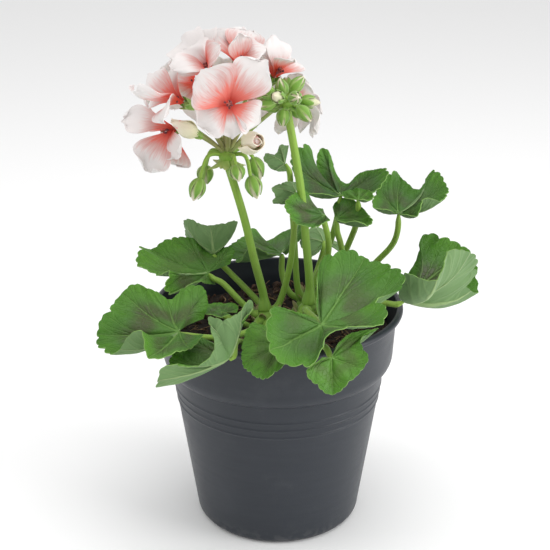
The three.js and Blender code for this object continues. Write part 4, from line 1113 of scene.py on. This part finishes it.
def add_hub(piece, middle, slots, bracts, droop, seed):
    """The swollen top of a flower stalk, with pointed bracts under the pedicels. slots: stem, bract."""
    add_lathe(piece, middle - [0, 0, 4.6], middle + [0, 0, 3.4], egg(7.6, 14, 0.8, 0.55), 20, slots[0],
              ripple=0.07, lobes=7)
    shuffle = random.Random(seed)
    for turn in full_turn(bracts):
        out = level(turn + shuffle.uniform(-0.2, 0.2))
        foot = middle + out * 2.6 - [0, 0, 1.2]
        tip = foot + out * shuffle.uniform(3.5, 8.0) - [0, 0, droop * shuffle.uniform(3, 7)]
        add_scale(piece, foot, tip, out + [0, 0, 1], shuffle.uniform(2.6, 3.8), slots[1], cup=-0.3)


def add_pedicel(piece, points, slot, radius=PEDICEL_RADIUS, steps=20):
    along = np.linspace(0, 1, steps)
    radii = radius * (1.15 - 0.25 * along + 0.28 * ease(0.85, 1.0, along))
    add_tube(piece, curve_through(points, steps), radii, 10, slot, 0.5 + 0.3 * np.sin(along * 3), 0.03)


def make_open_head_stems():
    piece = Piece()
    middle = spread(OPEN_HUB)
    for flower in FLOWERS.values():
        facing = unit(flower["facing"])
        end = spread(flower["throat"]) - facing * CALYX_LENGTH
        way = end - middle
        bow = middle + way * 0.5 + np.array([0, 0, 0.04]) * np.linalg.norm(way)
        add_pedicel(piece, [middle, bow, end, end + facing * 1.0], 1)
    for bud in OPENING_BUDS.values():
        end = spread(bud["base"])
        add_pedicel(piece, [middle, (middle + end) / 2 + [0, 0, 0.6], end], 1)
    for bud in HANGING_BUDS.values():
        top, point = spread(bud["top"]), spread(bud["point"])
        add_pedicel(piece, [middle, spread(bud["way"]), top, top + (point - top) * 0.12], 0)
    add_hub(piece, middle, (0, 2), 13, 0.8, "open bracts")
    piece.finish("open_head_pedicels", [STEM, PEDICEL, BRACT], "stem", ["pedicels_open_head"])


def make_bud_head():
    piece = Piece()
    middle = spread(BUD_HUB)
    for k, (foot, tip) in enumerate(CLUSTER_BUDS):
        start, end = spread(foot), spread(tip)
        cover, gape = (0.70, 0.6) if k in SHOWING_COLOUR else (0.93, 0.0)
        add_bud(piece, start, end, CLUSTER_BUD_WIDTH, k * 1.3, cover, gape)
        add_pedicel(piece, [middle, (middle + start) / 2, start + (end - start) * 0.1], 2, 0.8, 8)
    add_hub(piece, middle, (2, 1), 7, 0.2, "bud bracts")
    piece.finish("bud_head_buds", [CREAM, SEPAL, STEM], "bud", ["buds_and_pedicels_bud_head"])


# ---------------------------------------------------------------- pot

POT_SEGMENTS = 168
WALL = 1.2
LIP_HEIGHT = 3.6
LIP_OVERHANG = 3
LIP_UNDERCUT = 0.2
LIP_ROUND = 1.1
COLLAR_HEIGHT = 20
COLLAR_STEP = 4
COLLAR_TAPER = 1.2
STEP_HEIGHT = 7
BASE_RADIUS = 40.6
BASE_ROUND = 4.5
BASE_RECESS = 1.2
BASE_PAD_RADIUS = 12
FOOT_WIDTH = 5
DRAIN_HOLES = 6
DRAIN_RADIUS = 3.6
COLLAR_RADIUS = RIM_RADIUS - LIP_OVERHANG
LIP_BOTTOM = POT_HEIGHT - LIP_HEIGHT
COLLAR_BOTTOM = LIP_BOTTOM - COLLAR_HEIGHT
BODY_TOP = COLLAR_BOTTOM - STEP_HEIGHT
BODY_RADIUS = COLLAR_RADIUS - COLLAR_TAPER - COLLAR_STEP
FLOOR_TOP = BASE_RECESS + WALL
RIBS = (71.5, 67.5, 63.5)  # heights of the fine ribs round the body
RIB_REACH = 1.5
RIB_HEIGHT = 0.40
RIB_WIDTH = 0.55


def arc(centre, radius, start, end, steps):
    turns = np.radians(np.linspace(start, end, steps))
    return [(centre[0] + radius * np.cos(a), centre[1] + radius * np.sin(a)) for a in turns]


def body_radius(height):
    share = (height - BASE_ROUND) / (BODY_TOP - BASE_ROUND)
    return BASE_RADIUS + (BODY_RADIUS - BASE_RADIUS) * share


def wall_heights():
    """Heights down the body, closer together over each rib."""
    plain = np.linspace(BASE_ROUND + 2, BODY_TOP - 0.5, 60)
    plain = [height for height in plain if all(abs(height - rib) > RIB_REACH for rib in RIBS)]
    return sorted(plain + [rib + rise for rib in RIBS for rise in np.linspace(-RIB_REACH, RIB_REACH, 13)])


def rib_rise(height):
    return sum(RIB_HEIGHT * np.exp(-(((height - rib) / RIB_WIDTH) ** 2)) for rib in RIBS)


def outer_profile():
    """From the foot up the outside and over the lip."""
    foot = BASE_RADIUS - BASE_ROUND
    roll = LIP_HEIGHT / 2 - LIP_UNDERCUT
    points = [(foot - 0.4, 0.0), *arc((foot, BASE_ROUND), BASE_ROUND, -90, 0, 10)]
    points += [(body_radius(height) + rib_rise(height), height) for height in wall_heights()]
    points += [(BODY_RADIUS + COLLAR_STEP * (1 - (1 - share) ** 2) ** 0.6, BODY_TOP + STEP_HEIGHT * share)
               for share in np.linspace(0, 1, 12)]
    points += [(COLLAR_RADIUS - COLLAR_TAPER * (1 - share), COLLAR_BOTTOM + COLLAR_HEIGHT * share)
               for share in np.linspace(0.12, 1, 8)]
    points.append((COLLAR_RADIUS + 0.5, LIP_BOTTOM + LIP_UNDERCUT))
    points += arc((RIM_RADIUS - roll, LIP_BOTTOM + roll + LIP_UNDERCUT), roll, -80, 60, 12)
    points += arc((COLLAR_RADIUS + LIP_ROUND, POT_HEIGHT - LIP_ROUND), LIP_ROUND, 80, 180, 8)
    return points


def inner_profile():
    """From inside the lip down the wall to the middle of the floor."""
    points = [(COLLAR_RADIUS - WALL * min(1, share * 3) - COLLAR_TAPER * share,
               LIP_BOTTOM + 1 - (COLLAR_HEIGHT + 1) * share) for share in np.linspace(0.15, 1, 8)]
    points += [(BODY_RADIUS - WALL + COLLAR_STEP * (1 - share) ** 1.6, COLLAR_BOTTOM - STEP_HEIGHT * share)
               for share in np.linspace(0.2, 1, 8)]
    points += [(BODY_RADIUS - WALL - (BODY_RADIUS - BASE_RADIUS) * share, BODY_TOP - (BODY_TOP - 6) * share)
               for share in np.linspace(0.1, 1, 12)]
    return points + [(BASE_RADIUS - BASE_ROUND, FLOOR_TOP), (0, FLOOR_TOP)]


def pot_profile():
    inside_foot = BASE_RADIUS - BASE_ROUND - FOOT_WIDTH
    under = [(0, 0), (BASE_PAD_RADIUS, 0), (BASE_PAD_RADIUS + 1, BASE_RECESS),
             (inside_foot - 1, BASE_RECESS), (inside_foot, 0)]
    return under + outer_profile() + inner_profile()


def revolve(profile, segments):
    """The points of a profile of radii and heights, turned round the upright axis, and their faces."""
    radii, heights = np.array(profile, float).T
    points = [level(turn) * radii[:, None] + np.outer(heights, [0, 0, 1]) for turn in full_turn(segments)]
    return np.array(points), [face[::-1] for face in grid_faces(segments, len(profile), wrap=True)]


def make_pot():
    piece = Piece()
    piece.add(*revolve(pot_profile(), POT_SEGMENTS))
    pot = piece.finish("nursery_pot", [POT], "pot_plastic", ["pot"], merge=2e-5, sharp=40)
    cutter = Piece()
    middle = (BASE_PAD_RADIUS + BASE_RADIUS - BASE_ROUND - FOOT_WIDTH) / 2
    for turn in full_turn(DRAIN_HOLES):
        at = level(turn) * middle
        add_lathe(cutter, at - [0, 0, 3], at + [0, 0, 6], [(0, DRAIN_RADIUS), (1, DRAIN_RADIUS)], 28)
    drill(pot, cutter)


def drill(thing, cutter):
    """Cuts the cutter's bodies out of a finished piece."""
    mesh = bpy.data.meshes.new("cutter")
    mesh.from_pydata((np.concatenate(cutter.points) * MM).tolist(), [], cutter.faces)
    tool = put_in_scene("cutter", mesh)
    cut = thing.modifiers.new("drill", "BOOLEAN")
    cut.operation = "DIFFERENCE"
    cut.object = tool
    bpy.context.view_layer.update()
    seen = thing.evaluated_get(bpy.context.evaluated_depsgraph_get())
    made = bpy.data.meshes.new_from_object(seen)
    thing.modifiers.clear()
    thing.data = made
    bpy.data.objects.remove(tool)


# ---------------------------------------------------------------- soil

SOIL_SEGMENTS = 150
SOIL_RINGS = 56
SOIL_MOUND = 9
MOUND_CENTRE = (8, 30)
MOUND_RADIUS = 26
WALL_GAP = 0.25
LONGEST_FIBRE = 11
CRUMBS = 900
FIBRES = 260


def inside_radius(height):
    radii, heights = np.array(inner_profile()[::-1]).T
    return float(np.interp(height, heights, radii))


def soil_height(x, y):
    away = math.hypot(x / SPREAD - MOUND_CENTRE[0], y / SPREAD - MOUND_CENTRE[1]) / MOUND_RADIUS
    coarse = noise.fractal((x / 9, y / 9, 3.7), 0.8, 2.1, 4)
    fine = noise.fractal((x / 2.4, y / 2.4, 8.2), 0.7, 2.2, 3)
    return SOIL_LEVEL + SOIL_MOUND * math.exp(-away * away) + 1.3 * coarse + 0.75 * fine


def add_crumb(piece, at, size, shuffle):
    """A rounded lump with uneven sides, in slot 1."""
    turn = unit([shuffle.uniform(-1, 1) for _ in range(3)])
    half = turn * (size * shuffle.uniform(0.8, 1.5)) / 2
    profile = egg(size, 5, 0.6, shuffle.uniform(0.35, 0.6))
    add_lathe(piece, at - half, at + half, profile, 6, 1, shuffle.random(), shuffle.uniform(0.1, 0.3),
              shuffle.choice([2, 3]))


def add_fibre(piece, at, shuffle):
    """A bent bit of straw, in slot 2."""
    turn = shuffle.uniform(0, 2 * np.pi)
    along = level(turn) + [0, 0, shuffle.uniform(-0.15, 0.35)]
    bend = np.array([-np.sin(turn), np.cos(turn), 0]) * shuffle.uniform(-0.3, 0.3)
    length = shuffle.uniform(2.5, LONGEST_FIBRE)
    points = [at, at + (along + bend) * length / 2, at + along * length]
    add_tube(piece, curve_through(points, 7), shuffle.uniform(0.12, 0.36), 5, 2, shuffle.random())


def on_soil(reach, lift, shuffle):
    """A random point on the soil, and a little above it, within reach of its middle."""
    away = reach * math.sqrt(shuffle.random())
    turn = shuffle.uniform(0, 2 * np.pi)
    x, y = away * math.cos(turn), away * math.sin(turn)
    return np.array([x, y, soil_height(x, y) + lift])


def make_soil():
    piece = Piece()
    edge = inside_radius(SOIL_LEVEL) - WALL_GAP
    side = [(0.0, FLOOR_TOP + 0.4), (BASE_RADIUS - BASE_ROUND - 1, FLOOR_TOP + 0.4)]
    heights = (7.0, 40.0, BODY_TOP, COLLAR_BOTTOM, SOIL_LEVEL - 1.5)
    side += [(inside_radius(height) - WALL_GAP, height) for height in heights]
    top = [(edge * (1 - k / SOIL_RINGS) ** 0.8, SOIL_LEVEL) for k in range(SOIL_RINGS + 1)]
    points, faces = revolve(side + top, SOIL_SEGMENTS)
    # The surface is level but for its middle. Crumbs and fibres lie on the mound, as soil_height has it.
    points[:, -1, 2] = soil_height(0, 0)
    piece.add(points, faces, tone=0.3)
    shuffle = random.Random("soil")
    for _ in range(CRUMBS):
        at = on_soil(edge * 0.985, 0.15, shuffle)
        add_crumb(piece, at, 0.7 + 3.2 * shuffle.random() ** 2.5, shuffle)
    for _ in range(FIBRES):
        add_fibre(piece, on_soil(edge - LONGEST_FIBRE, 0.5, shuffle), shuffle)
    piece.finish("peat", [SOIL, CRUMB, FIBRE], "potting_soil", ["soil"], merge=1e-5)


# ---------------------------------------------------------------- camera, light and floor

CAMERA_PLACE = (-0.00143, -0.5559, 0.3503)
CAMERA_TILT = 67.9
LENS = 82.43
SENSOR = 36
FLOOR_REACH = 6.0
WORLD_STRENGTH = 0.74
LIT_POINT = (0, 0, 0.12)
# Each light's place, its width and height, and its power.
LIGHTS = {
    "overhead": ((0.1, -0.1, 1.1), (0.9, 0.9), 4.6),
    "right": ((0.85, -0.35, 0.35), (0.5, 0.8), 5.0),
    "left": ((-0.8, -0.1, 0.4), (0.35, 0.8), 1.2),
}


def make_camera():
    """At the height and tilt from which the pot's mouth and the bloom are both seen."""
    data = bpy.data.cameras.new("camera")
    data.lens = LENS
    data.sensor_width = SENSOR
    camera = put_in_scene("camera", data)
    camera.location = CAMERA_PLACE
    camera.rotation_euler = (math.radians(CAMERA_TILT), 0, 0)
    bpy.context.scene.camera = camera


def make_light(name, place, size, power):
    data = bpy.data.lights.new(name, "AREA")
    data.shape = "RECTANGLE"
    data.size, data.size_y = size
    data.energy = power
    light = put_in_scene(name, data)
    light.location = place
    aim = Vector(LIT_POINT) - Vector(place)
    light.rotation_euler = aim.to_track_quat("-Z", "Y").to_euler()


def make_stage():
    """A plain white floor and an even white world."""
    mesh = bpy.data.meshes.new("floor")
    corners = [(-1, -1), (1, -1), (1, 1), (-1, 1)]
    mesh.from_pydata([(x * FLOOR_REACH, y * FLOOR_REACH, 0) for x, y in corners], [], [(0, 1, 2, 3)])
    mesh.materials.append(Nodes("floor_white").finish((0.98, 0.98, 0.98), 0.9))
    put_in_scene("floor", mesh)
    world = bpy.data.worlds.new("studio")
    world.use_nodes = True
    back = world.node_tree.nodes["Background"]
    back.inputs["Color"].default_value = (1.0, 1.0, 1.0, 1)
    back.inputs["Strength"].default_value = WORLD_STRENGTH
    bpy.context.scene.world = world
    bpy.context.scene.view_settings.view_transform = "Standard"


make_camera()
make_stage()
for light_name, light in LIGHTS.items():
    make_light(light_name, *light)
make_pot()
make_soil()
make_crown()
for leaf_name, leaf in LEAVES.items():
    make_petiole(leaf_name, leaf)
    make_leaf(leaf_name, leaf)
for stalk_name, stalk in STALKS.items():
    make_stalk(stalk_name, stalk)
for flower_name, flower in FLOWERS.items():
    make_flower(flower_name, flower)
for bud_name, bud in HANGING_BUDS.items():
    make_hanging_bud(bud_name, bud)
for bud_name, bud in OPENING_BUDS.items():
    make_opening_bud(bud_name, bud)
make_open_head_stems()
make_bud_head()
